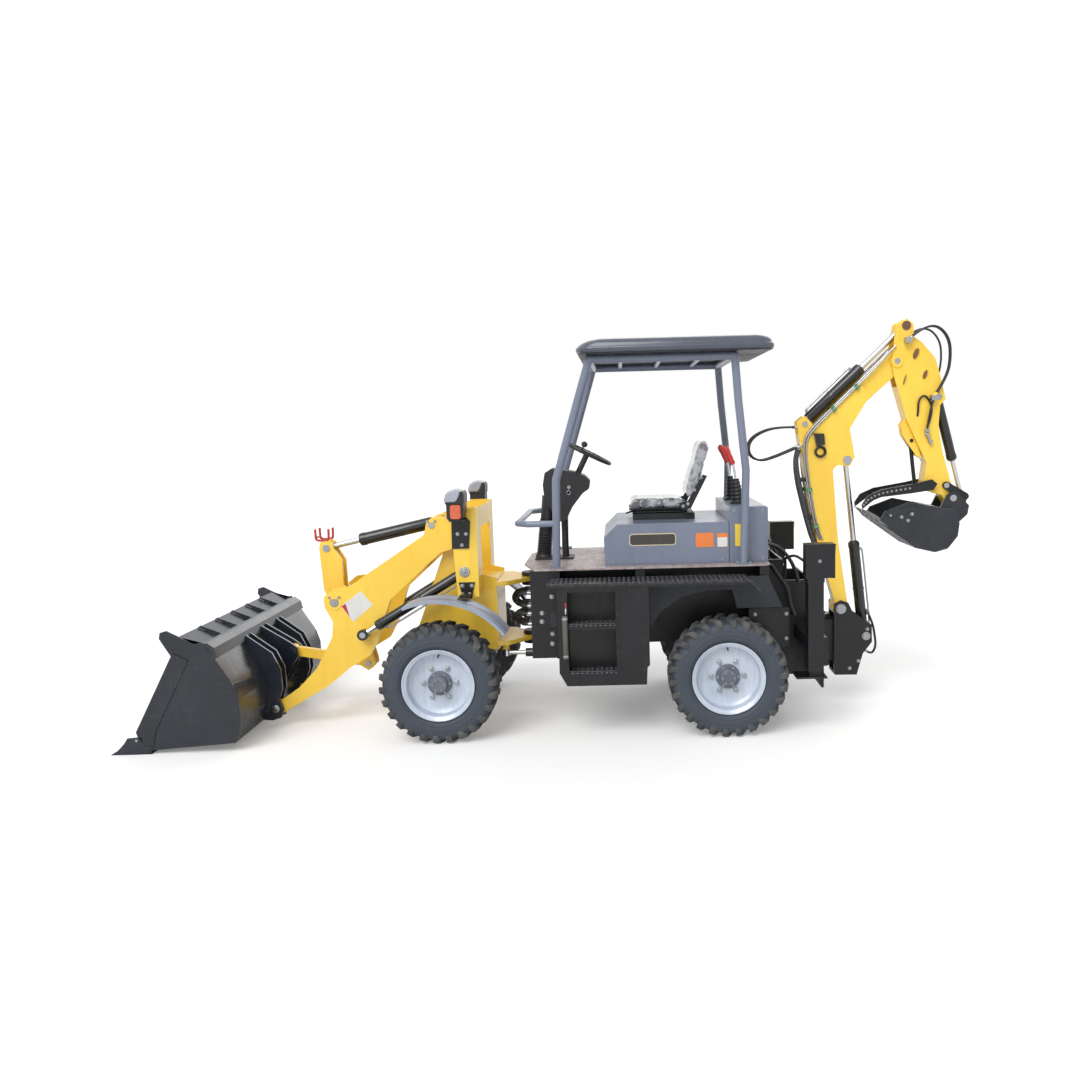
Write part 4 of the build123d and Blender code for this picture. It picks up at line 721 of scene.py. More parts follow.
@dataclass
class Ram:
    """Hydraulic cylinder: painted barrel, chrome rod, the gland at its mouth and a steel pipe beside it."""

    name: str
    barrel_node: str
    rod_node: str
    base: Spot
    eye: Spot
    lefts: tuple[float, ...]
    mouth: float
    radius: float
    rod_radius: float
    pipe: float = -1.0
    eye_radius: float = 40.0

    def at(self, along: float, off: float, left: float) -> Place:
        """Place at a distance from the base pin along the cylinder and off its axis, in the side view."""
        way = unit((self.eye[0] - self.base[0], self.eye[1] - self.base[1]))
        return (self.base[0] + way[0] * along - way[1] * off, left, self.base[1] + way[1] * along + way[0] * off)

    def build(self) -> None:
        """Dresses the two nodes and adds gland, ports and pipe."""
        dress(self.barrel_node, RAM_BLACK, ZINC, choose=[(1, near(self.base, 14))], bevel=1.5, slot="black_paint")
        dress(self.rod_node, CHROME, RAM_BLACK, ZINC,
              choose=[(1, near(self.eye, self.eye_radius)), (2, near(self.eye, 13))], bevel=1.0, slot="chrome_rod")
        body = frame["nodes"][self.barrel_node]["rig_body"]
        way = (self.eye[0] - self.base[0], 0, self.eye[1] - self.base[1])
        r, rr = self.radius, self.rod_radius + 0.8
        fittings = Shape()
        spots = [self.at(self.mouth, 0, left) for left in self.lefts]
        fittings.turned([(-34, r - 2), (-34, r + 3), (-6, r + 3), (-4, r + 1), (2, r + 1), (6, r - 3), (6, rr),
                         (-30, rr)], spots, way, 32, 0, loop=True)
        fittings.turned([(6, rr + 7), (11, rr + 6), (13, rr + 1), (5, rr + 1)], spots, way, 32, 2, loop=True)
        if self.pipe:
            far = r + 15
            for left in self.lefts:
                run = [self.at(s, self.pipe * off, left) for s, off in (
                    (74, r - 4), (74, far), (96, far + 3), (self.mouth - 70, far + 3), (self.mouth - 50, far),
                    (self.mouth - 50, r - 4))]
                fittings.tube(route_line(run), 6.5, 12, 1)
                for s in (74, self.mouth - 50):
                    fittings.turned([(0, 0), (0, 13), (9, 13), (9, 10), (20, 10), (20, 0)],
                                    [self.at(s, self.pipe * (r - 3), left)],
                                    np.subtract(self.at(s, self.pipe * far, left), self.at(s, 0, left)), 6, 1)
                middle = 0.5 * self.mouth
                fittings.turned([(-9, r - 1), (-9, r + 2.5), (9, r + 2.5), (9, r - 1)],
                                [self.at(middle, 0, left)], way, 32, 0, loop=True)
        fittings.build(f"{self.name}_fittings", body, RAM_BLACK, ZINC, PLASTIC, bevel=0.8, slot="black_paint")


@dataclass
class Wheel:
    """Wheel with a lugged tyre and a dished rim."""

    place: str
    forward: float
    side: int
    lugs: int = 26
    lean: float = 24.0
    wheel_left: float = 634.0
    rim_profile: tuple[Spot, ...] = (
        (-118, 222), (-118, 227), (-112, 228), (-106, 226), (-106, 207), (106, 207), (106, 226), (112, 228),
        (118, 227), (118, 222), (110, 212), (104, 201), (90, 198), (62, 197), (50, 192), (42, 180), (37, 164),
        (34, 150), (34, 118), (38, 100), (38, 72), (24, 72), (24, 150), (28, 178), (34, 190), (-106, 198), (-112, 212))
    half_section: tuple[Spot, ...] = (
        (0, 352), (50, 351.5), (90, 350), (110, 346), (120, 338), (127, 325), (130, 311), (131.2, 302), (130.2, 299),
        (131.6, 296), (132, 282), (130.5, 268), (128.6, 262), (129.6, 259), (129, 254), (126.5, 251), (121, 243),
        (115, 236), (109, 232), (105.4, 228), (105.4, 207))
    lug_rows: tuple[tuple[float, ...], ...] = (
        (5, 342, 5, 369, 13), (14, 342, 14, 372, 15), (45, 342, 45, 372.2, 17), (82, 341, 82, 372.2, 18),
        (102, 338, 104, 371.6, 19.5), (114, 330, 121, 365, 20), (120, 316, 130.5, 350, 19), (124, 300, 131.8, 324, 15))

    @property
    def hub(self) -> Place:
        """Middle of the wheel."""
        return (self.forward, self.side * self.wheel_left, AXLE_HEIGHT)

    def tyre(self) -> None:
        """Carcass as a section carried round the axle, and lugs as tapered bars laid over its shoulder.

        A point of the section (left, radius) at angle a is (radius * sine a, left, -radius * cosine a). A lug's
        ring goes from its foot to its top along each row of the table, spread by its half width and
        shifted round by the tangent of the lean times the distance from the lug's middle.
        """
        half = np.asarray(self.half_section)
        section = np.concatenate([half[::-1] * (-1, 1), half[1:]])
        angle = np.linspace(0, 2 * math.pi, 72, endpoint=False)[:, None]
        ring = np.stack([section[None, :, 1] * np.sin(angle), np.broadcast_to(section[None, :, 0], (72, len(section))),
                         -section[None, :, 1] * np.cos(angle)], -1)
        shape = Shape()
        shape.sheets((ring + self.hub)[None], 0, around=True, along=True)
        rows = np.asarray(self.lug_rows)
        spread = np.array([-1.08, -0.98, -0.84, 0.84, 0.98, 1.08])
        rise = np.array([0.0, 0.86, 1.0, 1.0, 0.86, 0.0])
        for row, offset in ((1, 0.0), (-1, 0.5)):
            turn = (np.arange(self.lugs) + offset)[:, None, None] * 2 * math.pi / self.lugs
            left = rows[:, 0, None] + (rows[:, 2] - rows[:, 0])[:, None] * rise
            radius = rows[:, 1, None] + (rows[:, 3] - rows[:, 1])[:, None] * rise
            shift = math.tan(math.radians(self.lean)) * (left - 58) + spread * rows[:, 4, None]
            a = turn + (shift / 362)[None]
            bars = np.stack([radius * np.sin(a), np.broadcast_to(row * left, a.shape), -radius * np.cos(a)], -1)
            shape.sheets(bars + self.hub, 1, around=True, caps=True)
        shape.build(f"tyre_{self.place}_lugged", f"wheel_{self.place}", RUBBER, LUG_RUBBER, angle=30.0,
                    slot="tyre_rubber", stands_for=(f"tyre_{self.place}",))

    def rim(self) -> None:
        """Dished rim, hub with its cap, six nuts and the valve."""
        way = (0.0, float(self.side), 0.0)
        shape = Shape()
        shape.turned(self.rim_profile, [self.hub], way, 96, 0, loop=True)
        shape.turned([(24, 0), (24, 76), (56, 76), (62, 70), (63, 56), (70, 53), (98, 51), (103, 46), (104, 30),
                      (100, 28), (100, 0)], [self.hub], way, 48, 1)
        turn = np.radians(np.arange(6) * 60 + 30)
        around = np.c_[np.sin(turn), np.zeros(6), np.cos(turn)]
        shape.turned([(33, 0), (33, 19), (37, 19), (38, 16), (51, 15), (53, 11), (53, 7), (60, 7), (61, 0)],
                     around * 102.5 + self.hub, way, 6, 2)
        shape.bolts(around * 63 + np.add(self.hub, (0, self.side * 62, 0)), way, 6.0, 2)
        shape.bolts(around * 36 + np.add(self.hub, (0, self.side * 103, 0)), way, 4.5, 2)
        shape.tube(np.array([(0, 0, 178), (0, self.side * 34, 172)]) + self.hub
                   + (0, self.side * 40, 0), 5.0, 10, 3)
        shape.build(f"rim_{self.place}_dished", f"wheel_{self.place}", SILVER, HUB, ZINC, PLASTIC, angle=32.0,
                    slot="rim_paint", stands_for=(f"rim_{self.place}",))

    def build(self) -> None:
        """Builds tyre and rim."""
        self.tyre()
        self.rim()


@dataclass
class Loader:
    """Arm, bellcrank, link, bucket and their cylinders."""

    arm_pivot: Spot = (-130.0, 1263.0)
    lift_base: Spot = (-140.0, 1030.0)
    lift_eye: Spot = (555.0, 622.0)
    crank_pivot: Spot = (745.0, 832.0)
    crank_top: Spot = (852.0, 1165.0)
    crank_low: Spot = (612.0, 356.0)
    tilt_base: Spot = (80.0, 1328.0)
    link_front: Spot = (1141.0, 452.0)
    bucket_pin: Spot = (1172.0, 130.0)
    arm_face: float = 302.0

    def arm(self) -> None:
        """Painted arm with zinc pin ends, lock plates, a spare lug and a blank plate."""
        dress("loader_arm", YELLOW, ZINC, BLACK, slot="yellow_paint", bevel=2.5, choose=[
            (1, near(self.crank_pivot, 29, 303)), (1, near(self.tilt_base, 23, 303)),
            (2, near(self.bucket_pin, 30, 303)), (1, near(self.bucket_pin, 23, 303))])
        shape = Shape()
        for s in (1, -1):
            face = s * self.arm_face
            out = (0, s, 0)
            shape.plate([(703, 809), (565, 906), (491, 810), (630, 700)], face, face + s * 1.2, 1)
            shape.plate([(650, 738), (630, 706), (694, 800), (700, 806), (672, 824)], face + s * 1.2, face + s * 1.8, 2)
            for spot, size in ((self.crank_pivot, 44), (self.tilt_base, 34)):
                shape.plate(rounded_outline((spot[0] - size, spot[1] + size * 0.55), (spot[0] + size, spot[1] + size * 1.05),
                                            8), face, face + s * 6, 0)
                shape.bolts([(spot[0] + size * 0.7, face + s * 6, spot[1] + size * 0.8),
                             (spot[0] - size * 0.7, face + s * 6, spot[1] + size * 0.8)], out, 7, 3)
            shape.turned([(0, 6), (0, 46), (5, 48), (5, 30)], [side_place(self.crank_pivot, face)], out, 40, 0)
            pin = side_place(self.bucket_pin, s * 334)
            shape.turned([(0, 0), (0, 26), (4, 26), (6, 23), (6, 0)], [pin], out, 28, 3)
            shape.turned([(6, 0), (6, 7), (10, 7), (11, 5), (11, 0)], [pin], out, 12, 3)
        shape.build("arm_fittings", "arm", YELLOW, PLATE_WHITE, RED_PAINT, ZINC, bevel=0.8, slot="yellow_paint")

    def bellcrank(self) -> None:
        """Painted bellcrank and link with zinc pins, and the red hose guard on top."""
        dress("bellcrank", YELLOW, ZINC, slot="yellow_paint", bevel=2.5,
              choose=[(1, near(self.crank_top, 22, 58)), (1, near(self.crank_low, 22, 58))])
        dress("bucket_link", YELLOW, ZINC, slot="yellow_paint", bevel=3.0,
              choose=[(1, near(self.link_front, 21, 28)), (1, near(self.crank_low, 20, 28))])
        guard = Shape()
        for left in (-50, 50):
            guard.tube(route_line([(832, left, 1296), (832, left, 1236), (838, left, 1222), (864, left, 1218),
                                   (900, left, 1218), (918, left, 1224), (922, left, 1242), (922, left, 1296)]), 8.0, 12)
        guard.tube(np.array([(921, -50, 1238), (921, 50, 1238)]), 7.0, 10)
        guard.build("hose_guard", "crank", RED_PAINT, slot="yellow_paint")

    def bucket(self) -> None:
        """Glossy black bucket with charcoal cheeks, raised strips, worn cutting edge and corner brackets."""
        dress("loader_bucket", BUCKET_BLACK, CHARCOAL, STEEL, bevel=2.0, slot="black_paint", join=0.05,
              squeeze=(1, 812 / 820, 1),
              choose=[(1, lambda c: np.abs(c[:, 1]) > 808), (2, within((1930, -830, -5), (2050, 830, 22)))])
        trim = Shape()
        for s in (1, -1):
            face = s * 812
            trim.plate([(1599, 628), (1508, 584), (1742, 148), (1762, 55), (1822, 57), (1863, 139)], face,
                       face + s * 5, 0)
            trim.plate([(1602, 634), (1599, 622), (1512, 578), (1508, 590)], face, face + s * 7, 0)
            trim.plate([(2034, 1), (1990, 26), (1948, 68), (1921, 106), (1834, 113), (1823, 52), (1763, 43), (1800, 16),
                        (1858, 1)], face, face + s * 5, 1)
            trim.bolts([(1866, face - s, 90)], (0, s, 0), 9, 2)
        for left in (-520, -260, 0, 260, 520):
            trim.plate([(1376, 640), (1394, 664), (1440, 690), (1544, 742), (1560, 738)], left - 7, left + 7, 1)
        for left in (334, 254, -234, -314):
            trim.plate([(1150, 176), (1118, 260), (1122, 400), (1172, 510), (1340, 636), (1366, 628), (1256, 440),
                        (1222, 333), (1218, 240)], left - 1, left - 19, 1)
        for left in np.linspace(-660, 660, 7):
            trim.plate([(1286, 56), (1330, 46), (1800, 14), (1800, 8), (1330, 38), (1284, 46)], left - 30, left + 30, 3)
        trim.build("bucket_trim", "front_bucket", CHARCOAL, BUCKET_BLACK, ZINC, STEEL, bevel=1.5, slot="black_paint")
        edge = Shape()
        edge.plate([(2036, 1), (1800, 1), (1800, 13), (1890, 16), (1990, 14)], -811, 811, 0)
        edge.build("cutting_edge", "front_bucket", STEEL, bevel=1.2, slot="black_paint")

    def build(self) -> None:
        """Builds every piece of the loader."""
        self.arm()
        self.bellcrank()
        self.bucket()
        Ram("lift", "lift_cylinder_barrels", "lift_cylinder_rods", self.lift_base, self.lift_eye, (345.0, -345.0),
            690.0, 33.0, 17.0, -1.0, 38.0).build()
        Ram("tilt", "tilt_cylinder_barrel", "tilt_cylinder_rod", self.tilt_base, self.crank_top, (0.0,),
            556.0, 42.0, 20.0, 0.0, 42.0).build()


@dataclass
class FrontBody:
    """Front frame with its masts, axle, mudguards and lamps."""

    fender_radius: float = 524.0
    fender_from: float = 68.0
    fender_to: float = 144.0
    lamp_left: float = 485.0

    def frame_parts(self) -> None:
        """Painted frame and axle, with pins, lock plates and bolts on the masts."""
        dress("front_frame", YELLOW, ZINC, slot="yellow_paint", bevel=2.5,
              choose=[(1, near((-130, 1263), 27, 402)), (1, near((-140, 1030), 19, 402))])
        dress("front_axle", BLACK, bevel=2.0, slot="black_paint")
        shape = Shape()
        for s in (1, -1):
            face = s * 400
            shape.turned([(0, 0), (0, 34), (5, 34), (6, 30), (6, 22), (9, 20), (9, 0)], [(-140, face, 1030)], (0, s, 0), 32, 1)
            shape.turned([(0, 0), (0, 8), (3, 8), (5, 5), (5, 0)], [(-140, face + s * 9, 1030)], (0, s, 0), 12, 1)
            shape.plate([(-205, 962), (-100, 962), (-112, 905), (-132, 862), (-176, 850)], face, face + s * 8, 0)
            shape.bolts([(-184, face + s * 8, 940), (-122, face + s * 8, 940)], (0, s, 0), 10, 1)
            shape.block((-186, min(face, s * 560), 893), (-126, max(face, s * 560), 900), 0)
            shape.plate([(-200, 892), (-110, 892), (-118, 868), (-192, 868)], face + s * 70, face + s * 78, 0)
            shape.bolts([(-176, s * 470, 900), (-136, s * 470, 900)], (0, 0, 1), 8, 1)
        shape.build("mast_fittings", "front_body", BLACK, ZINC, bevel=1.0, slot="black_paint")

    def fenders(self) -> None:
        """Curved strips over the front tyres: a grooved section (left, radius) carried round the axle."""
        section = np.array([(528, 516), (528, 530), (532, 534), (556, 534), (560, 529), (572, 529), (576, 534),
                            (640, 534), (645, 531), (655, 531), (660, 534), (710, 534), (714, 529), (726, 529),
                            (730, 534), (754, 534), (758, 530), (758, 516), (755, 516), (754, 527), (532, 527),
                            (531, 516)])
        angle = np.radians(np.linspace(self.fender_from, self.fender_to, 40))[:, None]
        shape = Shape()
        for s in (1, -1):
            strip = np.stack([section[None, :, 1] * np.cos(angle),
                              np.broadcast_to(s * section[None, :, 0], (40, len(section))),
                              AXLE_HEIGHT + section[None, :, 1] * np.sin(angle)], -1)
            shape.sheets(strip[None], 0, around=True, caps=True)
            shape.block((-190, min(s * 400, s * 640), 885), (-120, max(s * 400, s * 640), 892), 1)
            spots = [(r * math.cos(math.radians(109)), s * left, AXLE_HEIGHT + 535 * math.sin(math.radians(109)))
                     for left, r in ((600, 534), (690, 534))]
            shape.bolts(spots, (math.cos(math.radians(109)), 0, math.sin(math.radians(109))), 8, 2)
        shape.build("front_mudguards", "front_body", FENDER, BLACK, ZINC, slot="roof_plastic",
                    stands_for=("front_fenders",))

    def lamps(self) -> None:
        """Lamps on the masts: a dark body with a clear lens, an indicator at its side and a pale hood."""
        shape = Shape()
        hoods = Shape()
        for s in (1, -1):
            middle = s * self.lamp_left
            shape.plate([(-66, 1486), (-74, 1384), (-92, 1377), (-150, 1377), (-166, 1392), (-176, 1440), (-176, 1486)],
                        middle - 66, middle + 66, 0)
            shape.block((-178, middle - 72, 1483), (-60, middle + 72, 1489), 0)
            side_face = middle + s * 66
            lens = rounded_outline((-158, 1388), (-92, 1476), 16)
            shape.plate(lens, side_face - s * 4, side_face + s * 9, 1)
            shape.turned([(-8, 0), (-8, 56), (0, 58), (4, 56), (6, 50)], [(-70, middle, 1432)], (1, 0, 0), 40, 0)
            shape.turned([(3, 50), (6, 44), (8, 30), (9, 14), (9, 0)], [(-70, middle, 1432)], (1, 0, 0), 40, 2)
            shape.plate([(-118, 1486), (-180, 1486), (-182, 1540), (-172, 1562), (-150, 1552)], middle - 70, middle + 70, 0)
            hoods.plate([(-52, 1489), (-134, 1489), (-152, 1522), (-166, 1556), (-150, 1568), (-122, 1573), (-92, 1568),
                         (-66, 1546), (-54, 1516)], middle - 74, middle + 74, 0)
            shape.plate([(-191, 1356), (-168, 1384), (-80, 1384), (-70, 1356), (-66, 1182), (-176, 1182)],
                        s * 400, s * 408, 3)
            shape.block((-165, min(s * 400, s * 560), 1372), (-80, max(s * 400, s * 560), 1378), 3)
            shape.bolts([(-107, s * 408, 1278), (-161, s * 408, 1277), (-132, s * 408, 1205)], (0, s, 0), 9, 4)
        shape.build("mast_lamps", "front_body", PLASTIC, ORANGE_LENS, CLEAR_LENS, BLACK, ZINC, bevel=3.0,
                    slot="black_plastic", stands_for=("headlamps",))
        hoods.build("lamp_hoods", "front_body", PALE_GREY, bevel=16.0, angle=30.0, slot="roof_plastic")

    def build(self) -> None:
        """Builds every piece of the front body."""
        self.frame_parts()
        self.fenders()
        self.lamps()


@dataclass
class RearBody:
    """Rear frame with its step boxes, tread strips, deck, engine and articulation hoses."""

    cheek_left: float = 514.0
    box_left: float = 735.0

    def build(self) -> None:
        """Builds every piece of the rear body below the operator's station."""
        dress("rear_frame", BLACK, slot="black_paint")
        dress("rear_axle", BLACK, slot="black_paint")
        dress("engine_block", PLASTIC, slot="black_paint", bevel=8.0)
        dress("step_boxes", BLACK, slot="black_paint", bevel=3.0)
        dress("rear_fenders", TREAD, CHARCOAL, slot="grey_paint",
              choose=[(1, lambda c: (np.abs(c[:, 1]) < 522) & (c[:, 2] < 980))])
        dress("deck", DECK, slot="deck_plate", bevel=2.0)
        dress("hose_bank", HOSE, RAM_BLACK, ZINC, slot="black_plastic", bevel=1.2, choose=[
            (1, within((-700, -160, 580), (-639, 160, 870))), (2, within((-641, -160, 580), (-585, 160, 870)))])
        dress("steering_cylinder_barrel", RAM_BLACK, slot="black_paint")
        dress("steering_cylinder_rod", CHROME, slot="chrome_rod", bevel=1.0)
        shape = Shape()
        for s in (1, -1):
            face = s * self.cheek_left
            shape.bolts([(-705, face, 873), (-640, face, 768), (-638, face, 713), (-703, face, 633), (-700, face, 568)],
                        (0, s, 0), 11, 1)
            hole = rounded_outline((-736, 671), (-691, 770), 20)
            shape.plate(hole, face - s * 1, face + s * 1.2, 2)
            shape.plate(rounded_outline((-744, 655), (-683, 664), 4), face, face + s * 14, 0)
            outer = s * self.box_left
            for low, high in ((725, 728), (425, 428)):
                shape.block((-1108, min(outer, outer - s * 148), low), (-817, max(outer, outer - s * 148), high), 3)
                shape.tube(np.array([(-1106, outer - s * 8, high + 6), (-819, outer - s * 8, high + 6)]), 7, 10, 0)
            for x in (-1296, -1130, -800):
                shape.block((x, min(outer, outer + s * 4), 470), (x + 18, max(outer, outer + s * 4), 960), 0)
            shape.bolts([(-1200, outer, 356), (-1200, outer, 940)], (0, s, 0), 6, 0)
            shape.block((-1930, min(s * 740, s * 745), 960), (-692, max(s * 740, s * 745), 976), 0)
        spots = [(-564, s * left, high) for s in (1, -1) for left in (24, 72, 120) for high in (832, 742, 690, 618)]
        shape.turned([(0, 0), (0, 16), (18, 16), (19, 13), (54, 13), (56, 10), (56, 0)], spots, (1, 0, 0), 16, 1)
        shape.build("frame_fittings", "rear_body", BLACK, ZINC, ROOF_UNDER, TREAD, bevel=1.0, slot="black_paint")
        holder = Shape()
        holder.turned([(0, 0), (0, 15), (3, 17), (265, 17), (269, 15), (269, 0)], [(-798, 754, 525)], (0, 0, 1), 28, 0)
        for low in (536, 770):
            holder.turned([(0, 17), (0, 20), (14, 20), (14, 17)], [(-798, 754, low)], (0, 0, 1), 28, 1, loop=True)
            holder.block((-812, 735, low + 1), (-784, 739, low + 13), 1)
        holder.plate([(-810, 872), (-790, 872), (-788, 838), (-808, 838)], 735, 736.5, 2)
        holder.plate([(-808, 836), (-788, 836), (-786, 800), (-806, 800)], 735, 736.5, 3)
        holder.build("paper_tube", "rear_body", OLIVE, ZINC, RED_PAINT, PLATE_WHITE, slot="black_paint")
        log.info("rear body: frame, step boxes, deck and fittings")


@dataclass
class Station:
    """Operator's station: seat box, console, seat, steering column and wheel, and the digger's levers."""

    wheel_hub: Spot = (-943.0, 1763.0)
    wheel_tilt: float = 27.0
    wheel_radius: float = 165.0
    box_left: float = 430.0
    lever_lefts: tuple[float, ...] = (170.0, -170.0)

    def boxes(self) -> None:
        """Painted seat box and console with blank plates, latches and a slotted front."""
        dress("hood", GREY, slot="grey_paint", bevel=4.0)
        dress("rear_console", GREY, slot="grey_paint", bevel=4.0)
        plates = Shape()
        for s in (1, -1):
            face = s * self.box_left
            for low, high, radius, proud, mark in (
                    ((-1507, 1174), (-1207, 1252), 20, 1.2, 1), ((-1501, 1180), (-1213, 1246), 15, 1.8, 0),
                    ((-1746, 1156), (-1632, 1247), 5, 1.4, 2), ((-1836, 1154), (-1769, 1243), 4, 1.2, 2),
                    ((-1834, 1156), (-1771, 1216), 3, 1.7, 4), ((-1925, 1157), (-1884, 1299), 4, 1.3, 3)):
                plates.plate(rounded_outline(low, high, radius), face, face + s * proud, mark)
            plates.plate(rounded_outline((-1848.5, 1056), (-1845.5, 1312), 1), face - s * 2, face + s * 0.6, 5)
            plates.bolts([(-1100, face, 1075), (-1800, face, 1075), (-2060, face, 1075), (-2060, face, 1385),
                          (-1880, face, 1385)], (0, s, 0), 6, 6)
        # Dark bars on the box front stand for its slots: painted shade inside the openings.
        plates.block((-1052, -120, 1100), (-1046, 120, 1108), 5)
        for height in (1125, 1145, 1165, 1185):
            plates.block((-1050, -150, height), (-1046, 150, height + 7), 5)
        plates.build("box_plates", "rear_body", PLATE_DARK, PLATE_GOLD, PLATE_ORANGE, PLATE_YELLOW, PLATE_WHITE,
                     ROOF_UNDER, ZINC, bevel=0.4, slot="grey_paint")

    def column(self) -> None:
        """Moulded steering column with a ribbed boot, indicator stalks, a key and the tilted wheel."""
        dress("steering_column", PLASTIC, slot="black_plastic", bevel=7.0)
        shape = Shape()
        start, end = np.array((-626.0, 0, 1062.0)), np.array((-668.0, 0, 1480.0))
        way = unit(end - start)
        steps = np.linspace(0, 1, 145)
        ribs = 51 - 5 * steps + 4 * np.cos(steps * 17 * 2 * math.pi)
        shape.turned(np.c_[14 + steps * 246, ribs], [start], way, 32, 0)
        shape.turned([(0, 44), (0, 58), (14, 56), (26, 46), (26, 40)], [start], way, 32, 0, loop=True)
        shape.turned([(0, 0), (0, 12), (4, 12), (4, 5), (18, 5), (18, 0)], [(-815, 100, 1540)], (0, 1, 0), 16, 1)
        turn = np.linspace(0, 2 * math.pi, 17)
        ring = np.c_[-812 + 13 * np.cos(turn), np.full(17, 112), 1505 + 13 * np.sin(turn)]
        shape.tube(ring, 1.8, 8, 1)
        shape.tube(route_line([(-812, 112, 1518), (-813, 113, 1530), (-815, 112, 1541)]), 2.2, 8, 1)
        for s in (1, -1):
            shape.tube(route_line([(-860, s * 90, 1630), (-880, s * 150, 1650), (-890, s * 205, 1672)]), 5, 10, 0)
            shape.turned([(0, 0), (0, 9), (34, 8), (36, 0)], [(-890, s * 203, 1671)], (-0.1, s, 0.35), 16, 0)
        shape.turned([(0, 0), (0, 34), (3, 34), (3, 30), (5, 28), (5, 0)], [(-935, 0, 1600)], (-0.75, 0, 0.66), 28, 2)
        shape.build("column_fittings", "rear_body", PLASTIC, ZINC, CLEAR_LENS, slot="black_plastic")
        wheel = Shape()
        tilt = math.radians(self.wheel_tilt)
        axis = np.array((-math.sin(tilt), 0, math.cos(tilt)))
        across = np.array((math.cos(tilt), 0, math.sin(tilt)))
        hub = np.array(side_place(self.wheel_hub, 0))
        sweep = np.linspace(0, 2 * math.pi, 97)[:-1]
        bumps = 13.2 + 0.7 * np.cos(sweep * 24)
        spin = np.linspace(0, 2 * math.pi, 16, endpoint=False)
        out = np.cos(sweep)[:, None] * across + np.sin(sweep)[:, None] * (0, 1, 0)
        rim = (hub + out[:, None] * (self.wheel_radius + bumps[:, None, None] * np.cos(spin)[None, :, None])
               + axis * (bumps[:, None, None] * np.sin(spin)[None, :, None]))
        wheel.sheets(rim[None], 0, around=True, along=True)
        wheel.turned([(-12, 0), (-12, 30), (-4, 38), (8, 36), (12, 26), (13, 0)], [hub], axis, 32, 0)
        for angle in np.radians((90, 210, 330)):
            leg = math.cos(angle) * across + math.sin(angle) * np.array((0, 1, 0))
            wheel.tube(np.array([hub + leg * 24, hub + leg * 90 - axis * 3, hub + leg * 158]), np.array([11, 8, 10]), 12, 0)
        knob = hub + self.wheel_radius * (math.cos(1.33) * across + math.sin(1.33) * np.array((0, 1, 0)))
        wheel.turned([(8, 6), (30, 5), (34, 15), (46, 21), (58, 19), (66, 10), (68, 0)], [knob], axis, 24, 0)
        wheel.build("steering_wheel_grip", "rear_body", PLASTIC, slot="black_plastic", stands_for=("steering_wheel",))

    def levers(self) -> None:
        """Digger levers: a ribbed boot, a chrome rod and a shaped red grip on each."""
        shape = Shape()
        steps = np.linspace(0, 1, 61)
        for left in self.lever_lefts:
            shape.plate(rounded_outline((-2000, 1409), (-1880, 1424), 5), left - 55, left + 55, 0)
            start, end = np.array((-1938.0, left, 1424.0)), np.array((-1924.0, left, 1572.0))
            span = float(np.linalg.norm(end - start))
            ribs = 44 - 24 * steps + (3.5 - 1.5 * steps) * np.cos(steps * 6 * 2 * math.pi)
            shape.turned(np.c_[steps * span, ribs], [start], end - start, 28, 0)
            shape.tube(np.array([(-1924, left, 1560), (-1916, left, 1625), (-1905, left, 1678)]), 8.0, 14, 1)
            low, high = np.array((-1908.0, left, 1668.0)), np.array((-1852.0, left, 1792.0))
            length = float(np.linalg.norm(high - low))
            grip = [(0, 0), (0, 15), (6, 18), (26, 17), (48, 19), (72, 18), (94, 21), (118, 20.5), (length - 8, 14),
                    (length, 0)]
            shape.turned(grip, [low], high - low, 24, 2)
        shape.build("digger_levers", "rear_body", PLASTIC, CHROME, RED_PLASTIC, slot="black_plastic",
                    stands_for=("hoe_levers",))

    def seat(self) -> None:
        """Seat with padded cushion and back under clear film, on its painted brackets."""
        dress("seat_base", PLASTIC, slot="black_paint", bevel=3.0)
        dress("seat_frame", BLACK, slot="black_paint", bevel=2.0)
        padded_piece("seat_cushion", 14.0, ((0, -1290.0, 7.0), (0, -1440.0, 7.0), (0, -1550.0, 6.0)))
        padded_piece("seat_back", 12.0, ((2, 1560.0, 7.0), (2, 1690.0, 7.0)))
        shape = Shape()
        for s in (1, -1):
            shape.bolts([(-1568, s * 236.5, 1406), (-1600, s * 236.5, 1420), (-1644, s * 236.5, 1510),
                         (-1690, s * 236.5, 1590)], (0, s, 0), 8, 0)
            shape.tube(np.array([(-1600, s * 150, 1366), (-1250, s * 150, 1366)]), 9, 10, 1)
        shape.tube(route_line([(-1250, 60, 1367), (-1210, 80, 1362), (-1196, 130, 1360)]), 6, 10, 1)
        shape.build("seat_fittings", "seat", ZINC, PLASTIC, slot="black_paint")

    def build(self) -> None:
        """Builds every piece of the station."""
        self.boxes()
        self.column()
        self.levers()
        self.seat()


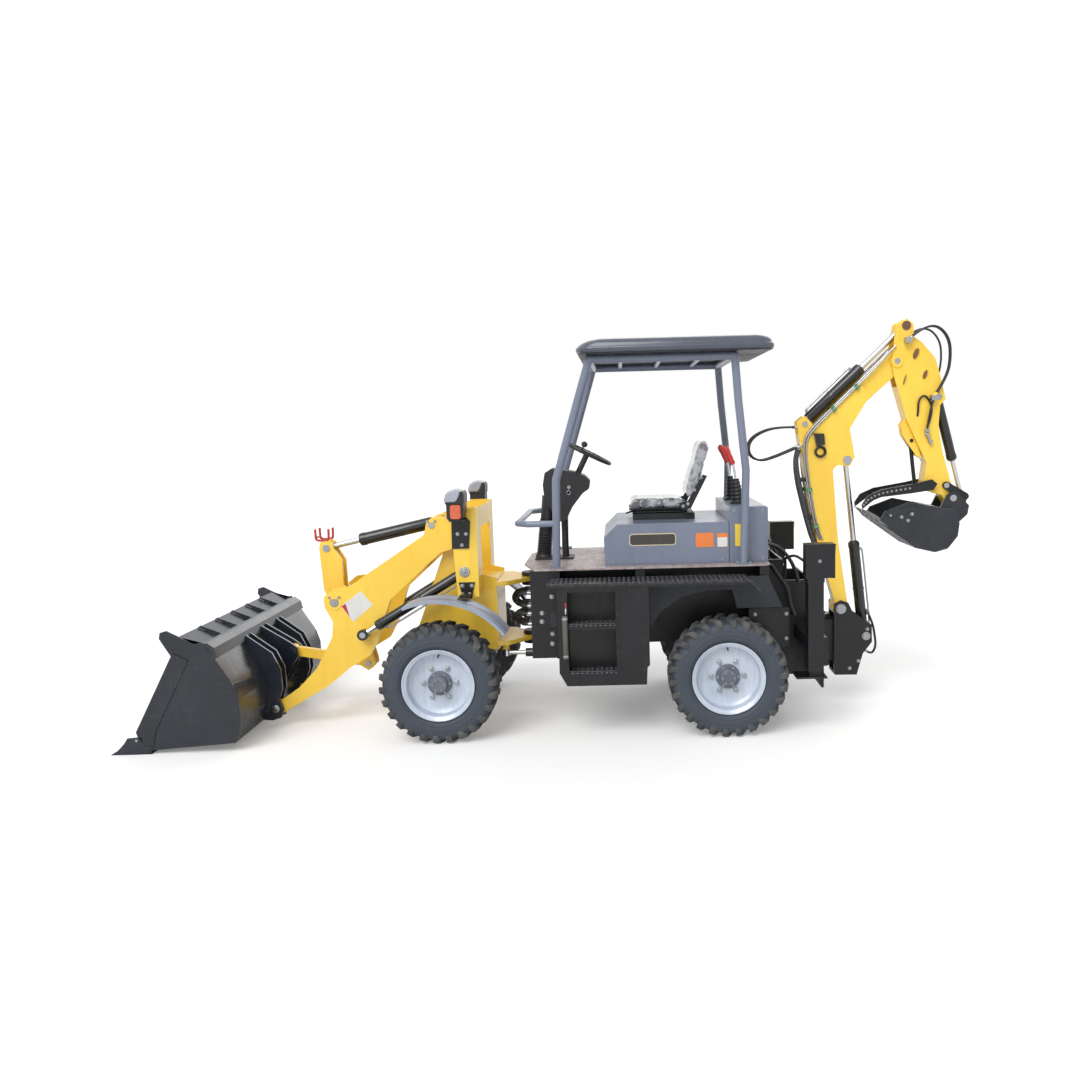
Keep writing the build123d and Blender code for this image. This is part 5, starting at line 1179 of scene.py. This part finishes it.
def padded_piece(node: str, swell: float, seams: Sequence[tuple[int, float, float]]) -> bpy.types.Object:
    """Padded cushion blown up by a cloth simulation from its CAD solid, with sewn channels pressed in.

    A channel lowers the points near a plane by depth * exp(-(distance / 9)^2) towards the pad's middle.

    Args:
        node: CAD solid that the pad replaces.
        swell: Furthest that a point may move, in millimetres.
        seams: Channels as (axis across which it lies, place on that axis, depth).

    Returns:
        The object.
    """
    source = frame["nodes"][node]
    mesh = source.data.copy()
    mesh.materials.clear()
    low, high = (np.array(corner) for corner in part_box(node))
    middle = Vector((low + high) / 2)
    shrink = Vector(1 - 2 * swell * 0.55 * MM / (high - low))
    mesh.transform(Matrix.Translation(middle) @ Matrix.Diagonal((*shrink, 1)) @ Matrix.Translation(-middle))
    pad = bpy.data.objects.new(f"{node}_pad", mesh)
    scene = bpy.context.scene
    scene.collection.objects.link(pad)
    skin = pad.modifiers.new("skin", "REMESH")
    skin.mode = "VOXEL"
    skin.voxel_size = 0.008
    replace_mesh(pad)
    rest = vertex_array(pad.data)
    cloth = pad.modifiers.new("cloth", "CLOTH")
    cloth.settings.use_pressure = True
    cloth.settings.uniform_pressure_force = 4.0
    cloth.settings.effector_weights.gravity = 0.0
    cloth.settings.mass = 0.3
    cloth.point_cache.frame_start, cloth.point_cache.frame_end = 1, 20
    for step in range(1, 21):
        scene.frame_set(step)
    replace_mesh(pad)
    scene.frame_set(1)
    moved = vertex_array(pad.data) - rest
    far = np.linalg.norm(moved, axis=1, keepdims=True)
    rest = rest + moved * np.minimum(1.0, swell * MM / np.maximum(far, 1e-9))
    centre = rest.mean(axis=0)
    for axis, where, depth in seams:
        gap = (rest[:, axis] / MM - (FRONT_AXLE if axis == 0 else 0)) - where
        inward = centre - rest
        inward[:, axis] = 0
        inward[:, 1] = 0
        inward /= np.maximum(np.linalg.norm(inward, axis=1, keepdims=True), 1e-9)
        rest = rest + inward * (depth * MM * np.exp(-((gap / 9) ** 2)))[:, None]
    rest = np.clip(rest, low, high)
    pad.data.vertices.foreach_set("co", rest.ravel())
    pad.data.shade_smooth()
    pad.data.materials.append(VINYL.material())
    fine = pad.modifiers.new("fine", "SUBSURF")
    fine.levels = fine.render_levels = 1
    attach(pad, source["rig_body"])
    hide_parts(node)
    return pad


def vertex_array(mesh: bpy.types.Mesh) -> np.ndarray:
    """Points of a mesh as rows."""
    points = np.empty(len(mesh.vertices) * 3)
    mesh.vertices.foreach_get("co", points)
    return points.reshape(-1, 3)


def replace_mesh(piece: bpy.types.Object) -> None:
    """Gives a piece the mesh that its modifiers make, and clears them."""
    bpy.context.view_layer.update()
    made = bpy.data.meshes.new_from_object(piece.evaluated_get(bpy.context.evaluated_depsgraph_get()))
    piece.modifiers.clear()
    piece.data = made


@dataclass
class Canopy:
    """Four posts and a moulded roof."""

    half_width: float = 630.0
    front: float = -905.0
    rear: float = -2125.0
    rings: tuple[tuple[float, float, float, float, int], ...] = (
        (420, 420, 420, 2377.0, 1), (60, 60, 60, 2376.6, 1), (26, 20, 24, 2377.5, 1), (10, 6, 8, 2384, 0),
        (2, 2, 2, 2394, 0), (0, 0, 0, 2406, 0), (3, 1, 1, 2416, 0), (9, 5, 5, 2419, 0), (12, 6, 6, 2424, 0),
        (34, 12, 10, 2442, 0), (70, 26, 24, 2458, 0), (118, 48, 48, 2468, 0), (165, 90, 90, 2472.5, 0),
        (200, 118, 120, 2471, 0), (225, 128, 130, 2471, 0), (240, 142, 142, 2474, 0), (330, 240, 240, 2475, 0))

    def roof(self) -> None:
        """Roof as rings stacked from its underside over the rim to its top.

        Each ring is a rectangle with round corners, drawn in from the front, rear and sides by the
        table's first three numbers, at the table's height; the last is filled flat.
        """
        rings = []
        for front_in, rear_in, side_in, height, _ in self.rings:
            inset = min(front_in, side_in)
            outline = rounded_outline((self.rear + rear_in, -self.half_width + side_in),
                                      (self.front - front_in, self.half_width - side_in), max(40.0, 110.0 - inset * 0.4), 9)
            rings.append(np.c_[outline, np.full(len(outline), height)])
        stack = np.stack(rings)
        shape = Shape()
        shape.sheets(stack[None, :4], 1, around=True)
        shape.sheets(stack[None, 3:], 0, around=True)
        for index, mark in ((0, 1), (-1, 0)):
            shape.add(stack[index], np.arange(len(stack[index]))[None], mark)
            shape.close()
        shape.build("canopy_shell", "rear_body", ROOF, ROOF_UNDER, angle=50.0, slot="roof_plastic",
                    stands_for=("canopy_roof",))

    def build(self) -> None:
        """Dresses the posts and builds the roof."""
        dress("canopy_frame", GREY, slot="grey_paint", bevel=1.5, angle=50.0)
        self.roof()
        shape = Shape()
        for s in (1, -1):
            for foot in (-742, -1929):
                shape.bolts([(foot - 38, s * 522, 1062), (foot + 38, s * 522, 1062), (foot - 38, s * 484, 1062),
                             (foot + 38, s * 484, 1062)], (0, 0, 1), 6, 0)
        shape.build("post_bolts", "rear_body", ZINC, slot="grey_paint")


@dataclass
class Digger:
    """Hoe frame, stabilizers, swing post, boom, dipper, bucket, thumb and their cylinders and hoses."""

    boom_pin: Spot = (-2640.0, 664.0)
    boom_base: Spot = (-2812.0, 472.0)
    boom_eye: Spot = (-2684.0, 1672.0)
    dipper_pin: Spot = (-3011.0, 2315.0)
    dipper_base: Spot = (-2402.0, 1919.0)
    dipper_eye: Spot = (-3068.0, 2545.0)
    curl_base: Spot = (-3295.0, 2075.0)
    curl_eye: Spot = (-3470.0, 1410.0)
    rocker_pin: Spot = (-3344.0, 1486.0)
    hoe_pin: Spot = (-3383.0, 1402.0)
    link_pin: Spot = (-3452.0, 1310.0)
    boom_hose: tuple[Spot, ...] = ((-2335, 1900), (-2225, 1903), (-2110, 1872), (-2035, 1815), (-2025, 1735),
                                   (-2085, 1680), (-2180, 1690), (-2352, 1762))
    dipper_hose: tuple[Spot, ...] = ((-3095, 2470), (-3165, 2525), (-3262, 2540), (-3340, 2455), (-3352, 2330),
                                     (-3330, 2205), (-3262, 2100))

    def stand(self) -> None:
        """Frame, stabilizers and swing post in black paint, with bolts and pins."""
        dress("hoe_frame", BLACK, slot="black_paint", bevel=2.5)
        for place in ("left", "right"):
            dress(f"stabilizer_leg_{place}", BLACK, slot="black_paint")
        dress("swing_post", BLACK, ZINC, slot="black_paint", bevel=2.5,
              choose=[(1, near(self.boom_pin, 26, 96)), (1, near(self.boom_base, 21, 96))])
        dress("swing_cylinder_barrel", RAM_BLACK, slot="black_paint")
        dress("swing_cylinder_rod", CHROME, slot="chrome_rod", bevel=1.0)
        post = Shape()
        for s in (1, -1):
            face = s * 90
            for spot, size in ((self.boom_pin, 34), (self.boom_base, 28)):
                post.turned([(0, 0), (0, size), (4, size), (4, size - 6), (10, size - 8), (10, 0)],
                            [side_place(spot, face)], (0, s, 0), 32, 1)
            post.bolts([(-2760, face, 300), (-2700, face, 250), (-2820, face, 520)], (0, s, 0), 9, 1)
        post.build("post_fittings", "post", BLACK, ZINC, slot="black_paint")
        shape = Shape()
        for s in (1, -1):
            outer = s * 738
            shape.bolts([(-2360, outer, 1090)], (0, s, 0), 8, 1)
            saw = np.c_[np.linspace(-2456, -2436, 29) - 8 * (np.arange(29) % 2), np.linspace(1194, 986, 29)]
            shape.plate(np.concatenate([saw, [(-2420, 986), (-2420, 1194)]]), s * 648, s * 732, 0)
            shape.block((-2390, min(s * 640, s * 740), 958), (-2284, max(s * 640, s * 740), 984), 0)
            shape.bolts([(-2200, s * 486, 720), (-2000, s * 486, 720), (-2200, s * 486, 560)], (0, s, 0), 9, 1)
        shape.build("hoe_frame_fittings", "rear_body", BLACK, ZINC, bevel=1.5, slot="black_paint")
        lines = Shape()
        for left, reach in ((-150, 0), (-105, 18), (110, 8), (150, 24)):
            lines.tube(route_line([(-2204, left, 900 - reach), (-2185, left, 980), (-2150 + reach, left * 1.15, 1040),
                                   (-2130, left * 1.2, 1100 + reach), (-2100, left * 1.1, 1130), (-2092, left, 1130)]),
                       9, 12, 0)
        for s in (1, -1):
            lines.tube(route_line([(-2225, s * 300, 1050), (-2240, s * 420, 1085), (-2255, s * 540, 1100),
                                   (-2270, s * 640, 1090), (-2278, s * 660, 1085)]), 9, 12, 0)
            lines.tube(route_line([(-2219, s * 252, 880), (-2240, s * 262, 960), (-2225, s * 300, 1050)]), 9, 12, 0)
        for s in (1, -1):
            for step in range(3):
                lines.tube(route_line([(-2092, s * (330 + step * 24), 1160), (-2162, s * (330 + step * 24), 1140 + step * 6),
                                       (-2226, s * (340 + step * 24), 1084), (-2270, s * (350 + step * 24), 1006),
                                       (-2290, s * (350 + step * 24), 930), (-2296, s * (350 + step * 22), 905)]),
                           10, 12, 0)
                lines.tube(route_line([(-2106 - step * 6, s * (400 + step * 22), 1030), (-2165, s * (400 + step * 22), 950),
                                       (-2206 - step * 8, s * (400 + step * 22), 880), (-2228, s * (400 + step * 22), 780),
                                       (-2250 - step * 6, s * (400 + step * 22), 700)]), 10, 12, 0)
        lines.block((-2203, -190, 880), (-2150, 190, 935), 1)
        for left in (-150, -75, 0, 75, 150):
            lines.turned([(0, 0), (0, 15), (22, 15), (22, 11), (46, 11), (46, 0)], [(-2176, left, 935)], (0, 0, 1), 6, 2)
        lines.build("valve_bank", "rear_body", HOSE, BLACK, ZINC, bevel=1.0, slot="black_plastic")

    def boom(self) -> None:
        """Boom with zinc pins, steel pipes, a braided hose sleeve, clamps and its two looped hoses."""
        dress("boom", YELLOW, ZINC, slot="yellow_paint", bevel=3.0, choose=[
            (1, near(self.boom_pin, 30, 67)), (1, near(self.boom_eye, 28, 65)), (1, near(self.dipper_base, 19, 65)),
            (1, lambda c: (c[:, 0] > -2350) & (c[:, 2] > 1880)), (1, near((-2370, 1770), 25))])
        shape = Shape()
        for s in (1, -1):
            for off in (0.0, 17.0):
                route = [(-3000 + off, s * 77, 2418 - off), (-2870, s * 77, 2297 - off), (-2734, s * 77, 2166 - off),
                         (-2546, s * 74, 1988 - off), (-2424 - off / 2, s * 72, 1872 - off),
                         (-2388 - off, s * 70, 1790), (-2398 - off, s * 68, 1640), (-2420 - off, s * 68, 1480),
                         (-2464 - off, s * 68, 1220), (-2500 - off, s * 68, 1140)]
                shape.tube(route_line(route), 6.5, 12, 0)
            for x, z, turn in ((-2742, 2156, -0.76), (-2428, 1478, 1.4), (-2590, 2014, -0.76), (-2472, 1230, 1.36)):
                tilt = np.array((math.cos(turn), math.sin(turn)))
                cross = np.array((-tilt[1], tilt[0]))
                corners = [np.array((x, z)) + a * tilt + b * cross for a, b in ((-12, -18), (12, -18), (12, 18), (-12, 18))]
                shape.plate(corners, s * 60, s * 85, 1)
                shape.bolts([(x, s * 85, z)], (0, s, 0), 6, 2)
            shape.plate([(-2456, 1856), (-2524, 1852), (-2530, 1780), (-2474, 1770)], s * 60, s * 92, 4)
            shape.plate([(-2480, 1842), (-2506, 1840), (-2508, 1800), (-2484, 1798)], s * 92, s * 104, 4)
            for ring, grow in ((28, 0), (36, 7)):
                turn = np.linspace(0.4, 2 * math.pi + 0.4, 33)
                coil = np.c_[-2502 + ring * np.cos(turn), s * (70 + grow * np.ones(33)), 1732 + ring * np.sin(turn)]
                shape.tube(coil, 5.0, 10, 4)
        shape.build("boom_pipes", "hoe_boom", ZINC, GREEN, ZINC, YELLOW, RAM_BLACK, bevel=0.8, slot="yellow_paint")
        sleeve = Shape()
        sleeve.tube(route_line([(-2366, 30, 1745), (-2344, 32, 1716), (-2350, 34, 1600), (-2382, 34, 1450),
                                (-2420, 34, 1280), (-2462, 34, 1120), (-2500, 30, 1060), (-2530, 26, 1040)]), 17, 16, 0)
        sleeve.tube(route_line([(-2366, -30, 1745), (-2348, -32, 1700), (-2356, -34, 1560), (-2392, -34, 1400),
                                (-2430, -34, 1250), (-2470, -30, 1110), (-2524, -26, 1050)]), 13, 14, 0)
        for x, z in ((-2378, 1545), (-2424, 1290)):
            sleeve.block((x - 34, -54, z - 12), (x + 6, 54, z + 12), 1)
        sleeve.build("boom_sleeve", "hoe_boom", SLEEVE, PLASTIC, slot="black_plastic")
        for index, left in enumerate((51.0, -51.0)):
            free_hose(f"boom_hose_{index + 1}", "hoe_boom", [side_place(spot, left) for spot in self.boom_hose], 14.0,
                      "boom_hoses")

    def dipper(self) -> None:
        """Dipper with zinc pins, eye bracket, lugs, hoses over its top, fittings and the black thumb."""
        dress("dipper", YELLOW, ZINC, RUST, slot="yellow_paint", bevel=2.5, choose=[
            (1, near(self.dipper_pin, 26, 66)), (1, near(self.curl_base, 19, 66)), (1, near(self.rocker_pin, 19, 66)),
            (1, near(self.hoe_pin, 23, 66)), (1, within((-3096, -130, 2425), (-3048, -70, 2475))),
            (1, within((-3096, 70, 2425), (-3048, 130, 2475))), (1, within((-3270, 70, 2045), (-3220, 130, 2090))),
            (1, within((-3270, -130, 2045), (-3220, -70, 2090))), (2, near(self.dipper_eye, 26, 64))])
        shape = Shape()
        for s in (1, -1):
            face = s * 62
            shape.turned([(0, 20), (0, 42), (6, 42), (8, 40), (8, 20)], [side_place(self.dipper_pin, face)], (0, s, 0),
                         32, 0, loop=True)
            turn = np.linspace(0, 2 * math.pi, 24, endpoint=False)
            # Stamped pockets: a raised yellow ring, a darker yellow oval inside it as painted shade of the recess, and
            # a dark oval set to one side as its painted shadow.
            for spot, wide, tall in (((-3137, 2360), 22, 40), ((-3199, 2222), 18, 34), ((-3064, 2192), 9, 38)):
                for grow, aside, proud, mark in ((5, 0, 2.0, 0), (-1, 0, 2.3, 5), (-5, 4, 2.6, 2)):
                    oval = np.c_[spot[0] + aside + (wide + grow) * np.cos(turn) - 0.25 * tall * np.sin(turn),
                                 spot[1] + (tall + grow) * np.sin(turn)]
                    shape.plate(oval, face - s, face + s * proud, mark)
            shape.tube(route_line([(-3150, face - s * 2, 1950), (-3150, face + s * 12, 1980), (-3152, face + s * 14, 2068),
                                   (-3200, face + s * 14, 2092), (-3244, face + s * 14, 2010), (-3232, face + s * 14, 1930),
                                   (-3210, face + s * 14, 1868)]), 6.5, 12, 3)
            shape.tube(route_line([(-3262, face + s * 22, 2096), (-3244, face + s * 24, 2050), (-3226, face + s * 24, 1980),
                                   (-3214, face + s * 20, 1900), (-3210, face + s * 18, 1868)]), 7.0, 12, 3)
            shape.block((-3226, min(face, face + s * 30), 1846), (-3196, max(face, face + s * 30), 1866), 1)
            shape.turned([(0, 0), (0, 15), (20, 15), (22, 11), (30, 11), (30, 0)],
                         [(-3210, face, 1830), (-3236, face, 1778)], (0, s, 0), 6, 1)
            shape.tube(np.array([(-3212, face + s * 18, 1838), (-3240, face + s * 18, 1764)]), 11.0, 6, 1)
        shape.build("dipper_fittings", "hoe_dipper", YELLOW, ZINC, SHADOW, HOSE, HOSE, SHADED, bevel=0.8,
                    slot="yellow_paint")
        for index, left in enumerate((84.0, 106.0, -84.0)):
            free_hose(f"dipper_hose_{index + 1}", "hoe_dipper", [side_place(spot, left) for spot in self.dipper_hose],
                      14.0, "dipper_hoses")
        dress("thumb", BLACK, ZINC, slot="black_paint",
              choose=[(1, near((-3238, 1493), 19, 108)), (1, near((-3158, 1468), 15, 108))])
        edge = np.array([(-2784, 1372), (-2812, 1404), (-2858, 1430), (-2912, 1448), (-2970, 1458), (-3030, 1467),
                         (-3090, 1475)], float)
        teeth = Shape()
        for s in (1, -1):
            spots = np.concatenate([edge, (edge[1:] + edge[:-1]) / 2])
            teeth.bolts([(x, s * 110, z) for x, z in spots], (0, s, 0), 5.5, 0)
        teeth.build("thumb_studs", "hoe_dipper", ZINC, slot="black_paint")

    def bucket(self) -> None:
        """Rocker, link and hoe bucket with bolted teeth, wear strips and a worn inside."""
        dress("bucket_rocker", BLACK, ZINC, slot="black_paint",
              choose=[(1, near(self.rocker_pin, 17)), (1, near(self.curl_eye, 17, 88))])
        dress("bucket_link_hoe", BLACK, ZINC, slot="black_paint", choose=[(1, near(self.link_pin, 17, 44))])
        dress("hoe_bucket", CHARCOAL, STEEL, slot="black_paint", bevel=2.0, choose=[
            (1, lambda c: (np.abs(c[:, 1]) < 186) & (c[:, 0] < -3200) & (c[:, 0] > -3380) & (c[:, 2] > 1105)),
            (1, within((-2940, -200, 1200), (-2770, 200, 1360)))])
        shape = Shape()
        inner = np.array([(-2880, 1262), (-3112, 1092), (-3240, 1060), (-3322, 1080)], float)
        outer = inner + np.array([(7, -9), (5, -10), (0, -11), (-7, -8)])
        for left in np.linspace(-170, 170, 5):
            shape.plate(np.concatenate([inner + (0, 3), outer[::-1]]), left - 14, left + 14, 0)
        for s in (1, -1):
            face = s * 200
            shape.bolts([(-2938, face, 1305), (-3011, face, 1293), (-3054, face, 1269), (-3080, face, 1311)],
                        (0, s, 0), 9, 1)
            shape.plate([(-2900, 1330), (-3120, 1372), (-3110, 1345), (-2930, 1290)], face, face + s * 6, 2)
        for left in (-178, -64, 64, 178):
            shape.plate([(-2930, 1226), (-2852, 1290), (-2800, 1334), (-2812, 1316), (-2870, 1256)],
                        left - 26, left + 26, 0)
        shape.build("hoe_bucket_trim", "rear_bucket", STEEL, ZINC, CHARCOAL, bevel=1.2, slot="black_paint")

    def build(self) -> None:
        """Builds every piece of the digger."""
        self.stand()
        self.boom()
        self.dipper()
        self.bucket()
        Ram("boom_ram", "boom_cylinder_barrel", "boom_cylinder_rod", self.boom_base, self.boom_eye, (0.0,), 640.0, 36.0,
            19.0, 1.0, 40.0).build()
        loop = Shape()
        loop.tube(route_line([(-2833, 22, 640), (-2848, 30, 600), (-2872, 34, 540), (-2884, 34, 470), (-2894, 34, 390),
                              (-2872, 32, 340), (-2846, 30, 342), (-2830, 28, 352)]), 8.0, 14, 0)
        loop.turned([(0, 0), (0, 11), (40, 11), (42, 8), (42, 0)], [(-2830, 20, 648)], (-0.25, 0.1, -1), 6, 1)
        loop.turned([(0, 0), (0, 11), (26, 11), (26, 0)], [(-2812, 28, 366)], (-0.8, 0, -0.6), 6, 1)
        loop.build("boom_ram_hose", "boom_barrel", HOSE, ZINC, slot="black_plastic")
        Ram("dipper_ram", "dipper_cylinder_barrel", "dipper_cylinder_rod", self.dipper_base, self.dipper_eye, (0.0,),
            520.0, 40.0, 20.0, -1.0, 40.0).build()
        Ram("curl_ram", "bucket_cylinder_barrel", "bucket_cylinder_rod", self.curl_base, self.curl_eye, (0.0,), 430.0,
            32.0, 16.0, 0.0, 32.0).build()


@dataclass
class Studio:
    """Pale floor, soft lights, white background and the camera at the photograph's angle."""

    camera_place: Place = (-0.42266, 6.50376, 1.93552)
    yaw: float = 0.537
    pitch: float = 7.258
    roll: float = -1.525
    focal: float = 956.46
    centre: Spot = (612.11, 548.46)
    picture: float = 1080.0

    def camera(self) -> None:
        """Camera whose axes come from yaw, pitch and roll, with the lens in parts of the picture's width."""
        yaw, pitch, roll = (math.radians(v) for v in (self.yaw, self.pitch, self.roll))
        ahead = np.array((math.sin(yaw) * math.cos(pitch), -math.cos(yaw) * math.cos(pitch), -math.sin(pitch)))
        right = unit(np.cross(ahead, (0.0, 0.0, 1.0)))
        up = np.cross(right, ahead)
        turned_right = right * math.cos(roll) + up * math.sin(roll)
        turned_up = up * math.cos(roll) - right * math.sin(roll)
        data = bpy.data.cameras.new("camera")
        data.sensor_width = 36.0
        data.lens = self.focal / self.picture * 36.0
        data.shift_x = (self.picture / 2 - self.centre[0]) / self.picture
        data.shift_y = (self.centre[1] - self.picture / 2) / self.picture
        data.clip_end = 200.0
        camera = bpy.data.objects.new("camera", data)
        turn = Matrix(np.column_stack([turned_right, turned_up, -ahead]).tolist()).to_4x4()
        camera.matrix_world = Matrix.Translation(self.camera_place) @ turn
        bpy.context.scene.collection.objects.link(camera)
        bpy.context.scene.camera = camera

    def lights(self) -> None:
        """Two wide suns: one from the camera's upper left, and a weaker one from behind."""
        for name, way, strength, width in (("key", (-0.35, -0.72, -0.75), 2.0, 0.7), ("back", (0.4, 0.8, -0.55), 0.9, 0.9)):
            lamp = bpy.data.lights.new(name, "SUN")
            lamp.energy = strength
            lamp.angle = width
            holder = bpy.data.objects.new(name, lamp)
            holder.rotation_euler = Vector(way).to_track_quat("-Z", "Y").to_euler()
            bpy.context.scene.collection.objects.link(holder)

    def world(self) -> None:
        """White where the camera, a reflection or glass sees it, and a softer white as light."""
        world = bpy.context.scene.world or bpy.data.worlds.new("world")
        bpy.context.scene.world = world
        world.use_nodes = True
        graph = Graph(world.node_tree)
        path = graph.add("ShaderNodeLightPath").outputs
        seen = graph.math("MAXIMUM", path["Is Camera Ray"],
                          graph.math("MAXIMUM", path["Is Glossy Ray"], path["Is Transmission Ray"]))
        back = world.node_tree.nodes["Background"]
        back.inputs["Color"].default_value = (1, 1, 1, 1)
        graph.feed(back.inputs["Strength"], graph.math("ADD", graph.math("MULTIPLY", seen, 0.42), 0.58))

    def floor(self) -> None:
        """Wide pale floor that keeps the shadow and whitens where the camera sees it."""
        mesh = bpy.data.meshes.new("floor")
        mesh.from_pydata([(-60, -60, 0), (60, -60, 0), (60, 60, 0), (-60, 60, 0)], [], [(0, 1, 2, 3)])
        floor = bpy.data.objects.new("floor", mesh)
        bpy.context.scene.collection.objects.link(floor)
        made = bpy.data.materials.new("floor")
        made.use_nodes = True
        graph = Graph(made.node_tree)
        shader = made.node_tree.nodes["Principled BSDF"]
        shader.inputs["Base Color"].default_value = (0.86, 0.86, 0.86, 1)
        shader.inputs["Roughness"].default_value = 0.9
        shader.inputs["Specular IOR Level"].default_value = 0.1
        shader.inputs["Emission Color"].default_value = (1, 1, 1, 1)
        path = graph.add("ShaderNodeLightPath").outputs
        graph.feed(shader.inputs["Emission Strength"], graph.math("MULTIPLY", path["Is Camera Ray"], 0.2))
        mesh.materials.append(made)

    def build(self) -> None:
        """Builds camera, lights, world and floor."""
        self.camera()
        self.lights()
        self.world()
        self.floor()
        bpy.context.scene.view_settings.view_transform = "Standard"


def main() -> None:
    """Builds the studio and every sub-assembly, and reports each."""
    logging.basicConfig(level=logging.INFO, format="%(name)s: %(message)s")
    Studio().build()
    log.info("studio: camera, lights and floor")
    Digger().build()
    log.info("digger: stand, boom, dipper and bucket")
    Loader().build()
    log.info("loader: arm, bellcrank and bucket")
    FrontBody().build()
    log.info("front body: masts, mudguards and lamps")
    for place, forward, side in (("front_left", 0.0, 1), ("front_right", 0.0, -1), ("rear_left", -WHEELBASE, 1),
                                 ("rear_right", -WHEELBASE, -1)):
        Wheel(place, forward, side).build()
        log.info("wheel: %s", place)
    RearBody().build()
    Station().build()
    log.info("station: boxes, column, levers and seat")
    Canopy().build()
    log.info("canopy: posts and roof")


if __name__ == "__main__":
    main()
